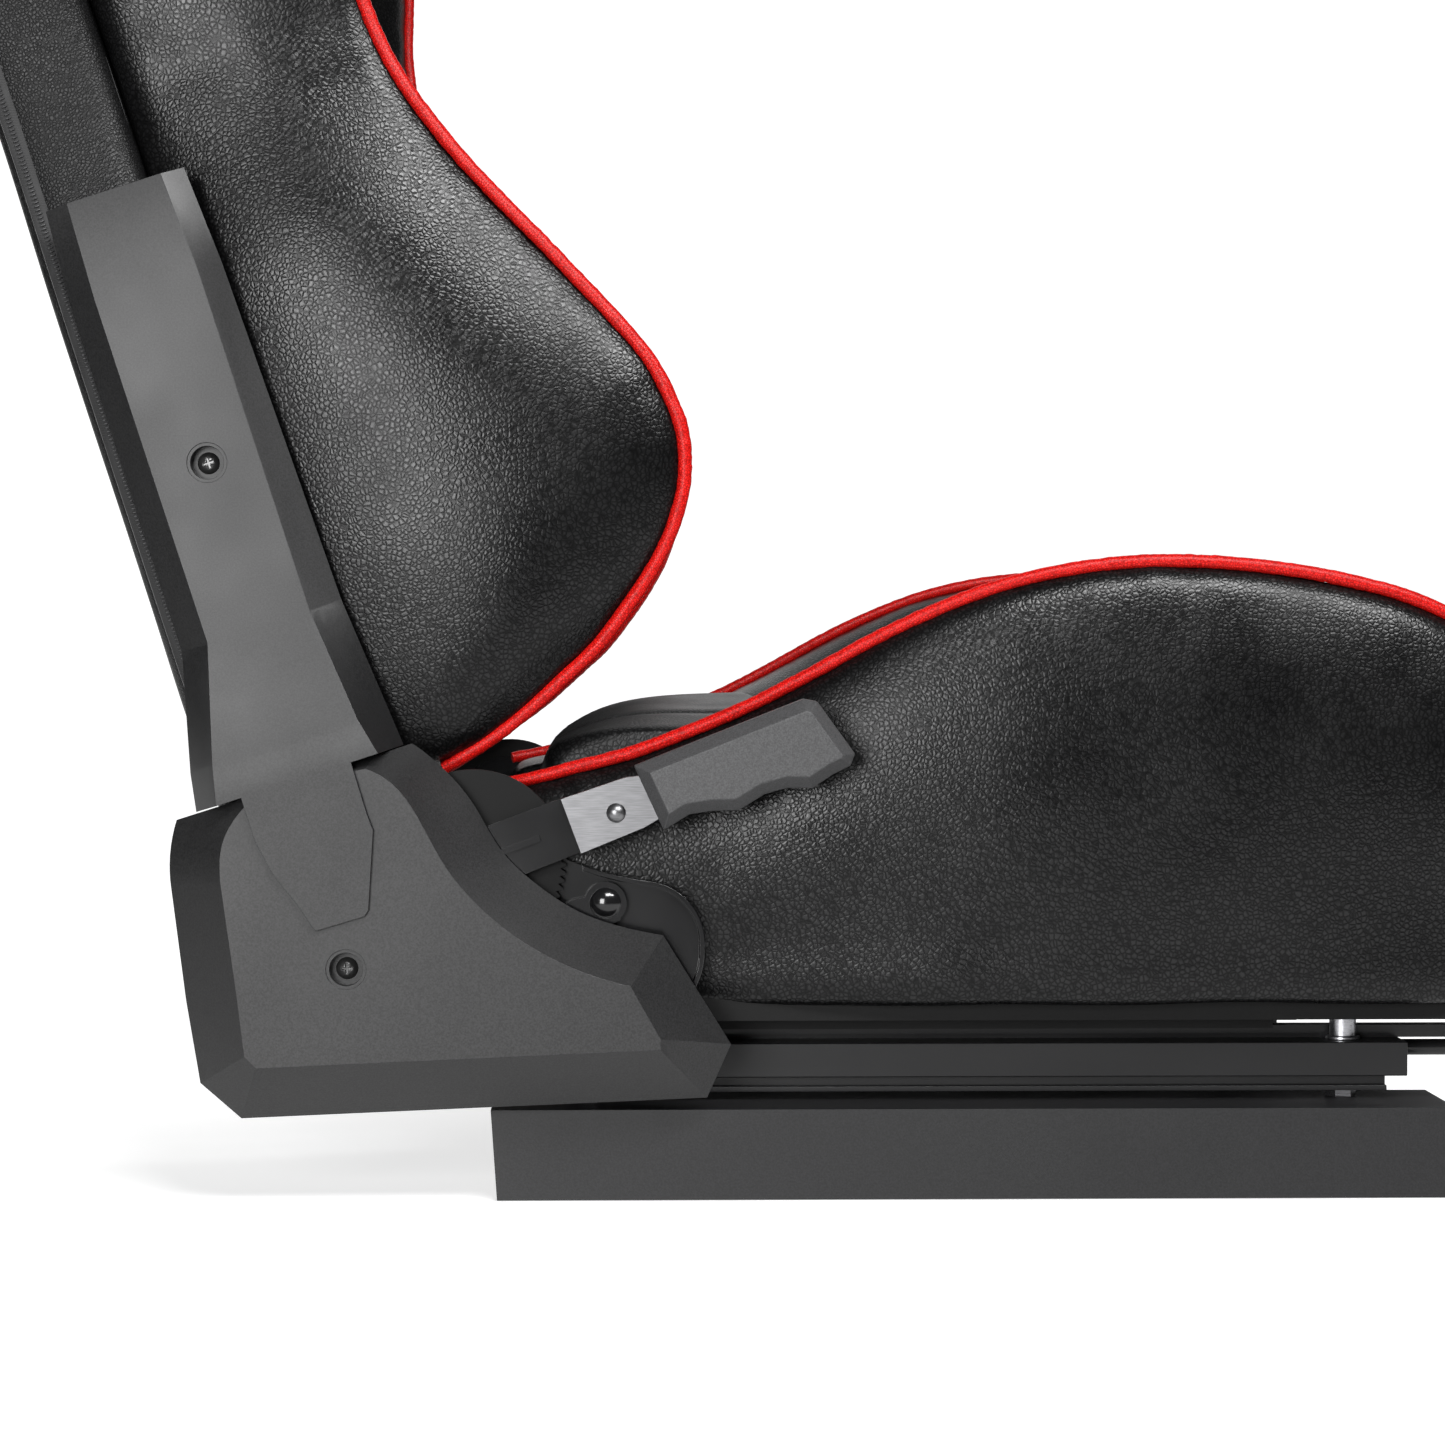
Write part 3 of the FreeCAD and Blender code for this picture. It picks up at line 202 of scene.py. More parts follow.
# pebble grained PU: rounded cells of about that many mm with creases between them
def grainedPu(name, colour, rough=0.42, cell=2.3, depth=0.09, shine=0.26):
    mat, tree, shader, place = newMaterial(name)
    cells = textureNode(tree, "ShaderNodeTexVoronoi", place, 1000 / cell, feature="DISTANCE_TO_EDGE")
    crease = rangeNode(tree, cells.outputs["Distance"], 0.0, 0.3, 0.0, 1.0)
    fine = textureNode(tree, "ShaderNodeTexNoise", place, 900, Detail=2.0)
    broad = textureNode(tree, "ShaderNodeTexNoise", place, 26, Detail=4.0)
    height = mathNode(tree, "ADD", crease, mathNode(tree, "MULTIPLY", fine.outputs["Fac"], 0.15))
    normal = bumpNode(tree, height, depth * mm, 1.0)
    normal = bumpNode(tree, broad.outputs["Fac"], 0.8 * mm, 0.3, normal)
    tree.links.new(normal, shader.inputs["Normal"])
    # the creases between the cells are painted darker, a painted shade, and their shine is lowered as well
    dark = tuple(c * 0.3 for c in colour)
    tree.links.new(colourBetween(tree, crease, dark, colour), shader.inputs["Base Color"])
    roughBetween(tree, shader, broad, rough - 0.05, rough + 0.06)
    gloss = rangeNode(tree, crease, 0.0, 1.0, shine * 0.5, shine * 1.1)
    tree.links.new(gloss, shader.inputs["Specular IOR Level"])
    return mat


# moulded plastic with a spark-eroded texture
def speckledPlastic(name, colour, rough=0.5, grain=0.55, depth=0.10, spread=0.25, shine=0.5):
    mat, tree, shader, place = newMaterial(name)
    fine = textureNode(tree, "ShaderNodeTexNoise", place, 1000 / grain, Detail=2.0, Roughness=0.6)
    broad = textureNode(tree, "ShaderNodeTexNoise", place, 14, Detail=3.0)
    tree.links.new(bumpNode(tree, fine.outputs["Fac"], depth * mm, 0.8), shader.inputs["Normal"])
    light = tuple(c * (1 + spread) for c in colour)
    dark = tuple(c * (1 - spread) for c in colour)
    factor = rangeNode(tree, fine.outputs["Fac"], 0.35, 0.65, 0.0, 1.0)
    tree.links.new(colourBetween(tree, factor, dark, light), shader.inputs["Base Color"])
    roughBetween(tree, shader, broad, rough - 0.04, rough + 0.05)
    shader.inputs["Specular IOR Level"].default_value = shine
    return mat


def paintedSteel(name, colour, rough=0.4, coat=0.0, grain=0.9, depth=0.006, shine=0.5):
    mat = speckledPlastic(name, colour, rough, grain, depth, 0.08, shine)
    shader = mat.node_tree.nodes["Principled BSDF"]
    shader.inputs["Coat Weight"].default_value = coat
    shader.inputs["Coat Roughness"].default_value = 0.06
    return mat


# bright steel with fine brushing along X
def bareSteel(name, colour, rough=0.25, streak=0.12):
    mat, tree, shader, place = newMaterial(name)
    stretch = tree.nodes.new("ShaderNodeMapping")
    stretch.inputs["Scale"].default_value = (0.06, 1, 1)
    tree.links.new(place, stretch.inputs["Vector"])
    brush = textureNode(tree, "ShaderNodeTexNoise", stretch.outputs["Vector"], 1800, Detail=3.0)
    shader.inputs["Metallic"].default_value = 1.0
    roughBetween(tree, shader, brush, rough - streak / 2, rough + streak)
    light = tuple(min(1, c * 1.1) for c in colour)
    dark = tuple(c * 0.85 for c in colour)
    factor = rangeNode(tree, brush.outputs["Fac"], 0.35, 0.65, 0.0, 1.0)
    tree.links.new(colourBetween(tree, factor, dark, light), shader.inputs["Base Color"])
    tree.links.new(bumpNode(tree, brush.outputs["Fac"], 0.004 * mm, 0.5), shader.inputs["Normal"])
    return mat


# two sets of waves at right angles stand for the threads
def wovenCloth(name, colour, thread=0.8, rough=0.8):
    mat, tree, shader, place = newMaterial(name)
    heights = []
    for turn in (0.0, math.pi / 2):
        spin = tree.nodes.new("ShaderNodeMapping")
        spin.inputs["Rotation"].default_value = (turn, 0.0, 0.0)
        tree.links.new(place, spin.inputs["Vector"])
        rate = 1000 / thread / 6.28
        wave = textureNode(tree, "ShaderNodeTexWave", spin.outputs["Vector"], rate, Distortion=0.4)
        wave.bands_direction = "Z"
        heights.append(wave.outputs["Fac"])
    weave = mathNode(tree, "MAXIMUM", heights[0], heights[1])
    tree.links.new(bumpNode(tree, weave, 0.12 * mm, 0.7), shader.inputs["Normal"])
    # the hollows between the threads are painted darker: painted shade
    dark = tuple(c * 0.5 for c in colour)
    tree.links.new(colourBetween(tree, weave, dark, colour), shader.inputs["Base Color"])
    shader.inputs["Roughness"].default_value = rough
    shader.inputs["Sheen Weight"].default_value = 0.15
    return mat


looks = {
    "bolster": grainedPu("bolsterPu", (0.0030, 0.0030, 0.0032), 0.30, shine=0.28),
    "centre": grainedPu("centrePu", (0.0065, 0.0065, 0.0068), 0.42),
    "rear": grainedPu("rearPu", (0.0060, 0.0060, 0.0063), 0.45, 1.6, 0.14),
    "piping": grainedPu("pipingPu", (0.52, 0.006, 0.004), 0.38, 1.2, 0.06, 0.2),
    "cover": speckledPlastic("coverPlastic", (0.010, 0.010, 0.0103), 0.42, 0.8, 0.018, 0.45, 0.30),
    "grip": speckledPlastic("gripPlastic", (0.034, 0.034, 0.035), 0.46, 0.7, 0.018, 0.3, 0.3),
    "screw": paintedSteel("screwBlack", (0.012, 0.012, 0.012), 0.32, 0.3),
    "powder": speckledPlastic("powderCoat", (0.006, 0.006, 0.0065), 0.46, 0.9, 0.035, 0.4, 0.3),
    "rail": paintedSteel("railPaint", (0.008, 0.008, 0.0085), 0.34, 0.1, shine=0.25),
    "gloss": paintedSteel("glossPaint", (0.004, 0.004, 0.0043), 0.16, 0.25, 3.0, 0.006, 0.35),
    "frame": paintedSteel("framePaint", (0.005, 0.005, 0.005), 0.6, shine=0.1),
    "zinc": bareSteel("zincSteel", (0.42, 0.42, 0.44), 0.3),
    "bright": bareSteel("brightSteel", (0.16, 0.16, 0.165), 0.34, 0.05),
    "webbing": wovenCloth("webbingCloth", (0.02, 0.02, 0.021)),
    "rubber": speckledPlastic("sleeveRubber", (0.012, 0.012, 0.012), 0.7, 1.4, 0.05),
    "zip": paintedSteel("zipTeeth", (0.02, 0.02, 0.021), 0.35),
    "tape": wovenCloth("zipTape", (0.012, 0.012, 0.0125), 0.6),
    "thread": wovenCloth("stitchThread", (0.014, 0.014, 0.0145), 0.25, 0.6),
}
print("materials ready")


# nodes shown with their own shape, only painted
kept = {
    "frame": ["cushion_rail_right", "cushion_rail_left", "cushion_crossbars", "back_upright_right",
              "back_upright_left", "back_crossbars", "recliner_arm_right", "recliner_arm_left"],
    "gloss": ["lever_spring"],
    "rail": ["carrier_bar_right", "carrier_bar_left", "latch_plates", "bar_clips"],
    "zinc": ["frame_bolts", "rail_base_bolts", "recliner_bolts", "arm_bolts", "slide_rollers", "pivot_pins"],
}
for look, names in kept.items():
    for name in names:
        mesh = frame["nodes"][name].data
        mesh.materials.clear()
        mesh.materials.append(looks[look])


easing = {
    "flat": math.radians(0.5),        # faces that meet at less than this are joined up
    "corner": math.radians(25),       # edges sharper than this are rounded
    "facet": math.radians(5),         # broad facets that meet at more than this keep a crisp line
    "facetArea": 30 * mm * mm,        # a smaller face belongs to a rounded edge and stays smooth
}


# the node's own shape, with its flat faces joined up and its edges eased by that many mm
def eased(node, look, body, width):
    mesh = frame["nodes"][node].data.copy()
    bm = bmesh.new()
    bm.from_mesh(mesh)
    bmesh.ops.remove_doubles(bm, verts=bm.verts, dist=0.00001)
    bmesh.ops.dissolve_limit(bm, angle_limit=easing["flat"], verts=bm.verts, edges=bm.edges)
    bm.to_mesh(mesh)
    bm.free()
    piece = fromMesh(node + "_shown", mesh, looks[look], body)
    bevel = piece.modifiers.new("edges", "BEVEL")
    bevel.width = width * mm
    bevel.segments = 2
    bevel.limit_method = "ANGLE"
    bevel.angle_limit = easing["corner"]
    bevel.use_clamp_overlap = True
    applied(piece)
    bm = bmesh.new()
    bm.from_mesh(piece.data)
    for edge in bm.edges:
        if len(edge.link_faces) == 2 and edge.calc_face_angle(0) > easing["facet"]:
            edge.smooth = min(face.calc_area() for face in edge.link_faces) < easing["facetArea"]
    bm.to_mesh(piece.data)
    bm.free()
    weighted = piece.modifiers.new("flatFacets", "WEIGHTED_NORMAL")
    weighted.mode = "FACE_AREA"
    weighted.weight = 100
    weighted.keep_sharp = True
    applied(piece)
    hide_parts(node)


# node, look, body, slot and how many mm its edges are eased by; a name that ends in _ is a pair
easedNodes = [
    ("base_side_", "powder", "base", "base_powder_coat", 0.8),
    ("base_crossbars", "powder", "base", "base_powder_coat", 0.8),
    ("rail_lower_", "rail", "base", "rail_steel", 0.4),
    ("rail_upper_", "rail", "seat", "rail_steel", 0.7),
    ("frame_spacers", "zinc", "seat", "zinc_hardware", 0.4),
    ("lower_cover_", "cover", "backrest", "cover_plastic", 1.1),
    ("upper_cover_", "cover", "backrest", "cover_plastic", 0.8),
    ("cover_screws", "screw", "backrest", "black_screws", 0.25),
    ("lever_grip", "grip", "lever", "grip_plastic", 0.9),
    ("recline_lever", "bright", "lever", "lever_steel", 0.5),
    ("lever_rivet", "bright", "lever", "lever_steel", 0.2),
    ("recliner_bracket_", "gloss", "seat", "gloss_black_steel", 0.8),
    ("pawl", "gloss", "pawl", "gloss_black_steel", 0.6),
    ("towel_bar", "rail", "release_bar", "release_bar_black", 0.3),
    ("bar_sleeve", "rubber", "release_bar", "sleeve_rubber", 0.5),
    ("harness_bezel_", "grip", "backrest", "grip_plastic", 0.6),
]
for node, look, body, slot, width in easedNodes:
    for label in sides if node.endswith("_") else [""]:
        eased(node + label, look, body, width)


neck = {"rise": math.radians(20.5), "end": 66 * mm}     # lever's slope at rest, black this far from the pivot


# the lever is black up to its neck and bright only where the tab goes into the grip
def paintNeck():
    lever = bpy.data.objects["recline_lever_shown"]
    lever.data.materials.append(looks["gloss"])
    along = Vector((math.cos(neck["rise"]), 0, math.sin(neck["rise"])))
    for face in lever.data.polygons:
        if (face.center - pivot).dot(along) < neck["end"]:
            face.material_index = 1


paintNeck()
print("hard parts eased")


# closed smooth loop through (a, b) points, evenly spaced; it may have a corner at the first one
def roundLoop(points, count, corner):
    fine = []
    n = len(points)
    parts = 10          # short straights between two given points
    for i in range(n):
        p0, p1, p2, p3 = (Vector(points[(i + k) % n]) for k in (-1, 0, 1, 2))
        if corner and i == 0:
            p0 = p1 * 2 - p2
        if corner and i == n - 1:
            p3 = p2 * 2 - p1
        d1 = max(1e-6, (p1 - p0).length) ** 0.5
        d2 = max(1e-6, (p2 - p1).length) ** 0.5
        d3 = max(1e-6, (p3 - p2).length) ** 0.5
        m1 = ((p1 - p0) / d1 - (p2 - p0) / (d1 + d2) + (p2 - p1) / d2) * d2
        m2 = ((p2 - p1) / d2 - (p3 - p1) / (d2 + d3) + (p3 - p2) / d3) * d2
        fine += [curveBetween(p1, m1, p2, m2, step / parts) for step in range(parts)]
    lengths = [0.0]
    for a, b in zip(fine, fine[1:] + fine[:1]):
        lengths.append(lengths[-1] + (b - a).length)
    loop, seg = [], 0
    for i in range(count):
        target = lengths[-1] * i / count
        while lengths[seg + 1] < target:
            seg += 1
        t = (target - lengths[seg]) / max(1e-9, lengths[seg + 1] - lengths[seg])
        loop.append(fine[seg].lerp(fine[(seg + 1) % len(fine)], t))
    return loop


# stations along a pad with (station, how far its section is drawn in) and rounded ends
def stationList(low, high, step, roundness):
    turns = [math.radians(a) for a in (90, 68, 46, 24)]
    first = [(low + roundness * (1 - math.sin(a)), roundness * (1 - math.cos(a))) for a in turns]
    last = [(high - roundness * (1 - math.sin(a)), roundness * (1 - math.cos(a))) for a in reversed(turns)]
    count = max(2, round((high - low - 2 * roundness) / step))
    middle = [(low + roundness + (high - low - 2 * roundness) * i / count, 0.0) for i in range(count + 1)]
    return first + middle + last


# quads between rings of that many points each, the first one starting at that index
def wallBetween(rings, count, start=0):
    quads = []
    for i in range(rings - 1):
        for j in range(count):
            a, b = start + i * count + j, start + i * count + (j + 1) % count
            quads.append((a, b, b + count, a + count))
    return quads


# closed pad lofted through smooth sections; section(station) gives (a, b) corners
def loftPad(name, low, high, step, roundness, section, toWorld, count, look, body, corner=False):
    verts = []
    stations = stationList(low, high, step, roundness)
    for station, drawn in stations:
        loop = roundLoop(section(station), count, corner)
        middle = sum(loop, Vector((0, 0))) / count
        spread = sum((p - middle).length for p in loop) / count
        for p in loop:
            p = p.lerp(middle, drawn / spread)
            verts.append(toWorld(station, p.x, p.y))
    faces = wallBetween(len(stations), count)
    for first, order in ((0, -1), ((len(stations) - 1) * count, 1)):
        middle = sum((verts[first + j] for j in range(count)), Vector()) / count
        verts.append(middle)
        hub = len(verts) - 1
        for j in range(count):
            rim = (first + j, first + (j + 1) % count)
            faces.append((*rim[::order], hub))
    piece = newPiece(name, verts, faces, looks[look], body)
    tidyNormals(piece)
    if corner:
        crease = piece.data.attributes.new("crease_edge", "FLOAT", "EDGE")
        for edge in piece.data.edges:
            a, b = sorted(edge.vertices)
            if a % count == 0 and b == a + count:
                crease.data[edge.index].value = 1.0
    return piece


stuffing = {"frames": 20, "quality": 5, "stretch": 12, "bend": 0.6}


# short cloth run that swells the pad by at most cap mm; held vertices keep to the seams
def puffUp(piece, pressure, cap, held):
    mesh = piece.data
    start = [v.co.copy() for v in mesh.vertices]
    cloth = piece.modifiers.new("cloth", "CLOTH")
    settings = cloth.settings
    settings.quality = stuffing["quality"]
    settings.tension_stiffness = stuffing["stretch"]
    settings.compression_stiffness = stuffing["stretch"]
    settings.bending_stiffness = stuffing["bend"]
    settings.use_pressure = True
    settings.uniform_pressure_force = pressure
    settings.effector_weights.gravity = 0
    cloth.collision_settings.use_collision = False
    group = piece.vertex_groups.new(name="seams")
    group.add(held, 1.0, "REPLACE")
    settings.vertex_group_mass = "seams"
    cloth.point_cache.frame_start = 1
    cloth.point_cache.frame_end = stuffing["frames"]
    for frameNumber in range(1, stuffing["frames"] + 1):
        bpy.context.scene.frame_set(frameNumber)
    graph = bpy.context.evaluated_depsgraph_get()
    moved = piece.evaluated_get(graph).data
    ends = [v.co.copy() for v in moved.vertices]
    piece.modifiers.clear()
    piece.vertex_groups.clear()
    bpy.context.scene.frame_set(1)
    for vertex, a, b in zip(mesh.vertices, start, ends):
        way = b - a
        vertex.co = a + way * min(1.0, cap * mm / max(1e-9, way.length))


def subdivided(piece):
    sub = piece.modifiers.new("smooth", "SUBSURF")
    sub.levels = sub.render_levels = 1
    applied(piece)


# nearest-point lookup on a line, with the distance along it of each point
def lineTree(points):
    tree = kdtree.KDTree(len(points))
    along = [0.0]
    for i, p in enumerate(points):
        tree.insert(p, i)
        if i:
            along.append(along[-1] + (p - points[i - 1]).length)
    tree.balance()
    return tree, along


# gathers the covering in short folds that run away from a sewn line; all in mm
def pucker(piece, line, reach, depth, pitch, seed):
    tree, along = lineTree(line)
    normals = [v.normal.copy() for v in piece.data.vertices]
    for vertex, normal in zip(piece.data.vertices, normals):
        near, index, gap = tree.find(vertex.co)
        gap /= mm
        if gap > reach:
            continue
        s = along[index] / mm / pitch
        fold = noise.noise(Vector((s, gap / 90, seed)))
        fold += 0.5 * noise.noise(Vector((s * 2.3, gap / 50, seed + 7)))
        strength = 0.25 + 0.75 * ramp(-0.1, 0.4, noise.noise(Vector((s * 0.13, seed + 3, 0))))
        vertex.co += normal * (fold * depth * mm * strength * (1 - gap / reach) ** 1.3)
    piece.data.update()


# a sewn groove along a line; width and depth in mm
def pressLine(piece, line, width, depth):
    tree = lineTree(line)[0]
    normals = [v.normal.copy() for v in piece.data.vertices]
    for vertex, normal in zip(piece.data.vertices, normals):
        gap = tree.find(vertex.co)[2] / mm
        vertex.co -= normal * (depth * mm * math.exp(-(gap / width) ** 2))
    piece.data.update()


# slow unevenness of stuffed covering; size and depth in mm
def soften(piece, size, depth, seed):
    normals = [v.normal.copy() for v in piece.data.vertices]
    for vertex, normal in zip(piece.data.vertices, normals):
        p = vertex.co / (size * mm)
        vertex.co += normal * (noise.noise(p + Vector((seed, 0, 0))) * depth * mm)
    piece.data.update()


# empty node tree with a geometry in and out, the named number inputs and a material
def growTree(name, numbers):
    tree = bpy.data.node_groups.new(name, "GeometryNodeTree")
    tree.interface.new_socket("Geometry", in_out="INPUT", socket_type="NodeSocketGeometry")
    for label in numbers:
        tree.interface.new_socket(label, in_out="INPUT", socket_type="NodeSocketFloat")
    tree.interface.new_socket("Material", in_out="INPUT", socket_type="NodeSocketMaterial")
    tree.interface.new_socket("Geometry", in_out="OUTPUT", socket_type="NodeSocketGeometry")
    return tree, tree.nodes.new("NodeGroupInput"), tree.nodes.new("NodeGroupOutput")


# the line as a curve cut into even lengths
def evenCurve(tree, source):
    curve = tree.nodes.new("GeometryNodeMeshToCurve")
    even = tree.nodes.new("GeometryNodeResampleCurve")
    even.mode = "LENGTH"
    tree.links.new(source.outputs["Geometry"], curve.inputs["Mesh"])
    tree.links.new(curve.outputs["Curve"], even.inputs["Curve"])
    return even


# every tree ends the same way: real geometry with its material
def finishTree(tree, geometry, source, out):
    real = tree.nodes.new("GeometryNodeRealizeInstances")
    paint = tree.nodes.new("GeometryNodeSetMaterial")
    tree.links.new(geometry, real.inputs["Geometry"])
    tree.links.new(real.outputs["Geometry"], paint.inputs["Geometry"])
    tree.links.new(source.outputs["Material"], paint.inputs["Material"])
    tree.links.new(paint.outputs["Geometry"], out.inputs["Geometry"])


# round piping along a line, with fine cross wrinkles
def makePipingTree():
    tree, source, out = growTree("pipingAlongLine", ["Radius", "Wrinkle Depth", "Wrinkle Rate", "Seed"])
    add, link = tree.nodes.new, tree.links.new
    even = evenCurve(tree, source)
    even.inputs["Length"].default_value = 1.6 * mm
    length = add("GeometryNodeSplineParameter")
    keep = add("GeometryNodeCaptureAttribute")
    keep.capture_items.new("FLOAT", "Along")
    circle = add("GeometryNodeCurvePrimitiveCircle")
    circle.inputs["Resolution"].default_value = 14
    sweep = add("GeometryNodeCurveToMesh")
    sweep.inputs["Fill Caps"].default_value = True
    link(even.outputs["Curve"], keep.inputs["Geometry"])
    link(length.outputs["Length"], keep.inputs["Along"])
    link(keep.outputs["Geometry"], sweep.inputs["Curve"])
    link(source.outputs["Radius"], circle.inputs["Radius"])
    link(circle.outputs["Curve"], sweep.inputs["Profile Curve"])
    rate = mathNode(tree, "MULTIPLY_ADD", keep.outputs["Along"], source.outputs["Wrinkle Rate"],
                    source.outputs["Seed"])
    wrinkle = add("ShaderNodeTexNoise")
    wrinkle.noise_dimensions = "4D"
    wrinkle.inputs["Scale"].default_value = 60.0
    wrinkle.inputs["Detail"].default_value = 2.0
    where = add("GeometryNodeInputPosition")
    link(where.outputs["Position"], wrinkle.inputs["Vector"])
    link(rate, wrinkle.inputs["W"])
    centred = mathNode(tree, "SUBTRACT", wrinkle.outputs["Fac"], 0.5)
    depth = mathNode(tree, "MULTIPLY", centred, source.outputs["Wrinkle Depth"])
    outward = add("ShaderNodeVectorMath")
    outward.operation = "SCALE"
    link(add("GeometryNodeInputNormal").outputs["Normal"], outward.inputs[0])
    link(depth, outward.inputs["Scale"])
    shift = add("GeometryNodeSetPosition")
    link(sweep.outputs["Mesh"], shift.inputs["Geometry"])
    link(outward.outputs["Vector"], shift.inputs["Offset"])
    shade = add("GeometryNodeSetShadeSmooth")
    link(shift.outputs["Geometry"], shade.inputs["Geometry"])
    finishTree(tree, shade.outputs["Geometry"], source, out)
    return tree


# small blocks set along a line at a fixed step: stitches or zip teeth
def makeRowTree():
    tree, source, out = growTree("rowAlongLine", ["Step", "Length", "Width", "Height", "Stagger"])
    add, link = tree.nodes.new, tree.links.new
    even = evenCurve(tree, source)
    link(source.outputs["Step"], even.inputs["Length"])
    ball = add("GeometryNodeMeshUVSphere")
    ball.inputs["Segments"].default_value = 8
    ball.inputs["Rings"].default_value = 5
    ball.inputs["Radius"].default_value = 0.5
    size = add("ShaderNodeCombineXYZ")
    link(source.outputs["Width"], size.inputs["X"])
    link(source.outputs["Height"], size.inputs["Y"])
    link(source.outputs["Length"], size.inputs["Z"])
    tangent = add("GeometryNodeInputTangent")
    turn = add("FunctionNodeAlignRotationToVector")
    turn.axis = "Z"
    link(tangent.outputs["Tangent"], turn.inputs["Vector"])
    place = add("GeometryNodeInstanceOnPoints")
    link(even.outputs["Curve"], place.inputs["Points"])
    link(ball.outputs["Mesh"], place.inputs["Instance"])
    link(turn.outputs["Rotation"], place.inputs["Rotation"])
    link(size.outputs["Vector"], place.inputs["Scale"])
    odd = mathNode(tree, "MODULO", add("GeometryNodeInputIndex").outputs["Index"], 2.0)
    side = add("ShaderNodeCombineXYZ")
    link(mathNode(tree, "MULTIPLY", odd, source.outputs["Stagger"]), side.inputs["X"])
    nudge = add("GeometryNodeTranslateInstances")
    link(place.outputs["Instances"], nudge.inputs["Instances"])
    link(side.outputs["Vector"], nudge.inputs["Translation"])
    finishTree(tree, nudge.outputs["Instances"], source, out)
    return tree


pipingTree = makePipingTree()
rowTree = makeRowTree()


# runs a node tree on a line of points and keeps the result as a plain mesh
def grown(name, line, tree, values, look, body):
    mesh = bpy.data.meshes.new(name + "Line")
    mesh.from_pydata([tuple(p) for p in line], [(i, i + 1) for i in range(len(line) - 1)], [])
    piece = newObject(name, mesh)
    nodes = piece.modifiers.new("grow", "NODES")
    nodes.node_group = tree
    ids = {item.name: item.identifier for item in tree.interface.items_tree if item.in_out == "INPUT"}
    for key, value in values.items():
        nodes[ids[key]] = value
    nodes[ids["Material"]] = looks[look]
    applied(piece)
    if not piece.data.materials:
        piece.data.materials.append(looks[look])
    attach(piece, body)
    return piece


# closely spaced points on a smooth line through the given ones (metres)
def smoothLine(points, step=2.0):
    line = []
    n = len(points)
    for i in range(n - 1):
        p0 = points[i - 1] if i else points[0] * 2 - points[1]
        p1, p2 = points[i], points[i + 1]
        p3 = points[i + 2] if i + 2 < n else points[-1] * 2 - points[-2]
        parts = max(1, round((p2 - p1).length / mm / step))
        for k in range(parts):
            t = k / parts
            line.append(0.5 * (2 * p1 + (p2 - p0) * t + (2 * p0 - 5 * p1 + 4 * p2 - p3) * t * t
                               + (3 * p1 - p0 - 3 * p2 + p3) * t ** 3))
    line.append(points[-1])
    return line


# a section that is the same on both sides: its left part from front or rear, then its middle point
def mirrored(left, middle):
    return left + [middle] + [(u, -y) for u, y in reversed(left)]


def surfaceOf(piece):
    mesh = piece.data
    return BVHTree.FromPolygons([v.co for v in mesh.vertices], [p.vertices for p in mesh.polygons])


channel = {"width": 4.5, "depth": 3.2, "foldReach": 14, "foldDepth": 0.5, "foldPitch": 7, "seed": 2.0}


# lays seam lines on the pad and presses them in; gives back the laid lines
def sewChannels(piece, seams):
    surface = surfaceOf(piece)
    seams = [[surface.find_nearest(p)[0] for p in seam] for seam in seams]
    for seam in seams:
        pressLine(piece, seam, channel["width"], channel["depth"])
        pucker(piece, seam, channel["foldReach"], channel["foldDepth"], channel["foldPitch"], channel["seed"])
    return seams


stitch = {"beside": 3.0, "lift": 0.15}       # mm
stitchSizes = {"Step": 0.0042, "Length": 0.0032, "Width": 0.0009, "Height": 0.0009, "Stagger": 0.0}


# a row of stitches beside each seam, lying on the pad
def stitchRows(name, pad, seams, body):
    surface = surfaceOf(pad)
    for number, seam in enumerate(seams):
        row = []
        for i, p in enumerate(seam):
            way = (seam[min(i + 1, len(seam) - 1)] - seam[max(i - 1, 0)]).normalized()
            spot, normal, index, gap = surface.find_nearest(p)
            beside = surface.find_nearest(spot + way.cross(normal).normalized() * stitch["beside"] * mm)
            row.append(beside[0] + beside[1] * stitch["lift"] * mm)
        grown(f"{name}_{number}", row, rowTree, stitchSizes, "thread", body)


cushion = {
    # height of the piped edge along the seat, rear to front
    "edge": [(-236, 193), (-215, 197), (-192, 203), (-163, 210.5), (-135, 221), (-107, 233), (-78, 248),
             (-50, 263.5), (-22, 277), (7, 288.5), (35, 296), (64, 300.5), (92, 302), (120, 301),
             (149, 298), (177, 293), (206, 285.5), (232, 274), (256, 256), (276, 230), (290, 196),
             (296, 160), (297, 120)],
    # how far out the side stands
    "out": [(-236, 240), (-215, 244), (-128, 246), (-78, 252), (-20, 258), (40, 261), (120, 261), (200, 258),
            (250, 252), (297, 243)],
    "pipeIn": 14.0,     # the piping sits this far in from the side
    "innerHalf": 172.0,     # the bolsters meet the centre here
    "centreTop": [(-206, 215), (-190, 223), (-170, 227), (-100, 227), (0, 229), (120, 235), (200, 237),
                  (250, 230), (275, 212), (290, 180)],
    "bottom": 91.0,     # lower edge of the skirt
    "floor": 119.0,     # underside of the pads
    "nose": [(296, 160), (297, 130), (294, 100), (286, 91), (280, 96), (276, 119)],
    "rear": [(150, 119), (0, 119), (-120, 119), (-198, 119), (-206, 126), (-207, 170), (-207, 200)],
    "crossSeams": (-95, 10, 115, 205),
    "sideSeam": 122,
}


def cushionEdgePoint(x, side, lift=0.0):
    out = at(cushion["out"], x) - cushion["pipeIn"]
    return placed(x, side * out, at(cushion["edge"], x) + lift)


seamHold = 9 * mm       # how far from a piped seam the cloth is held


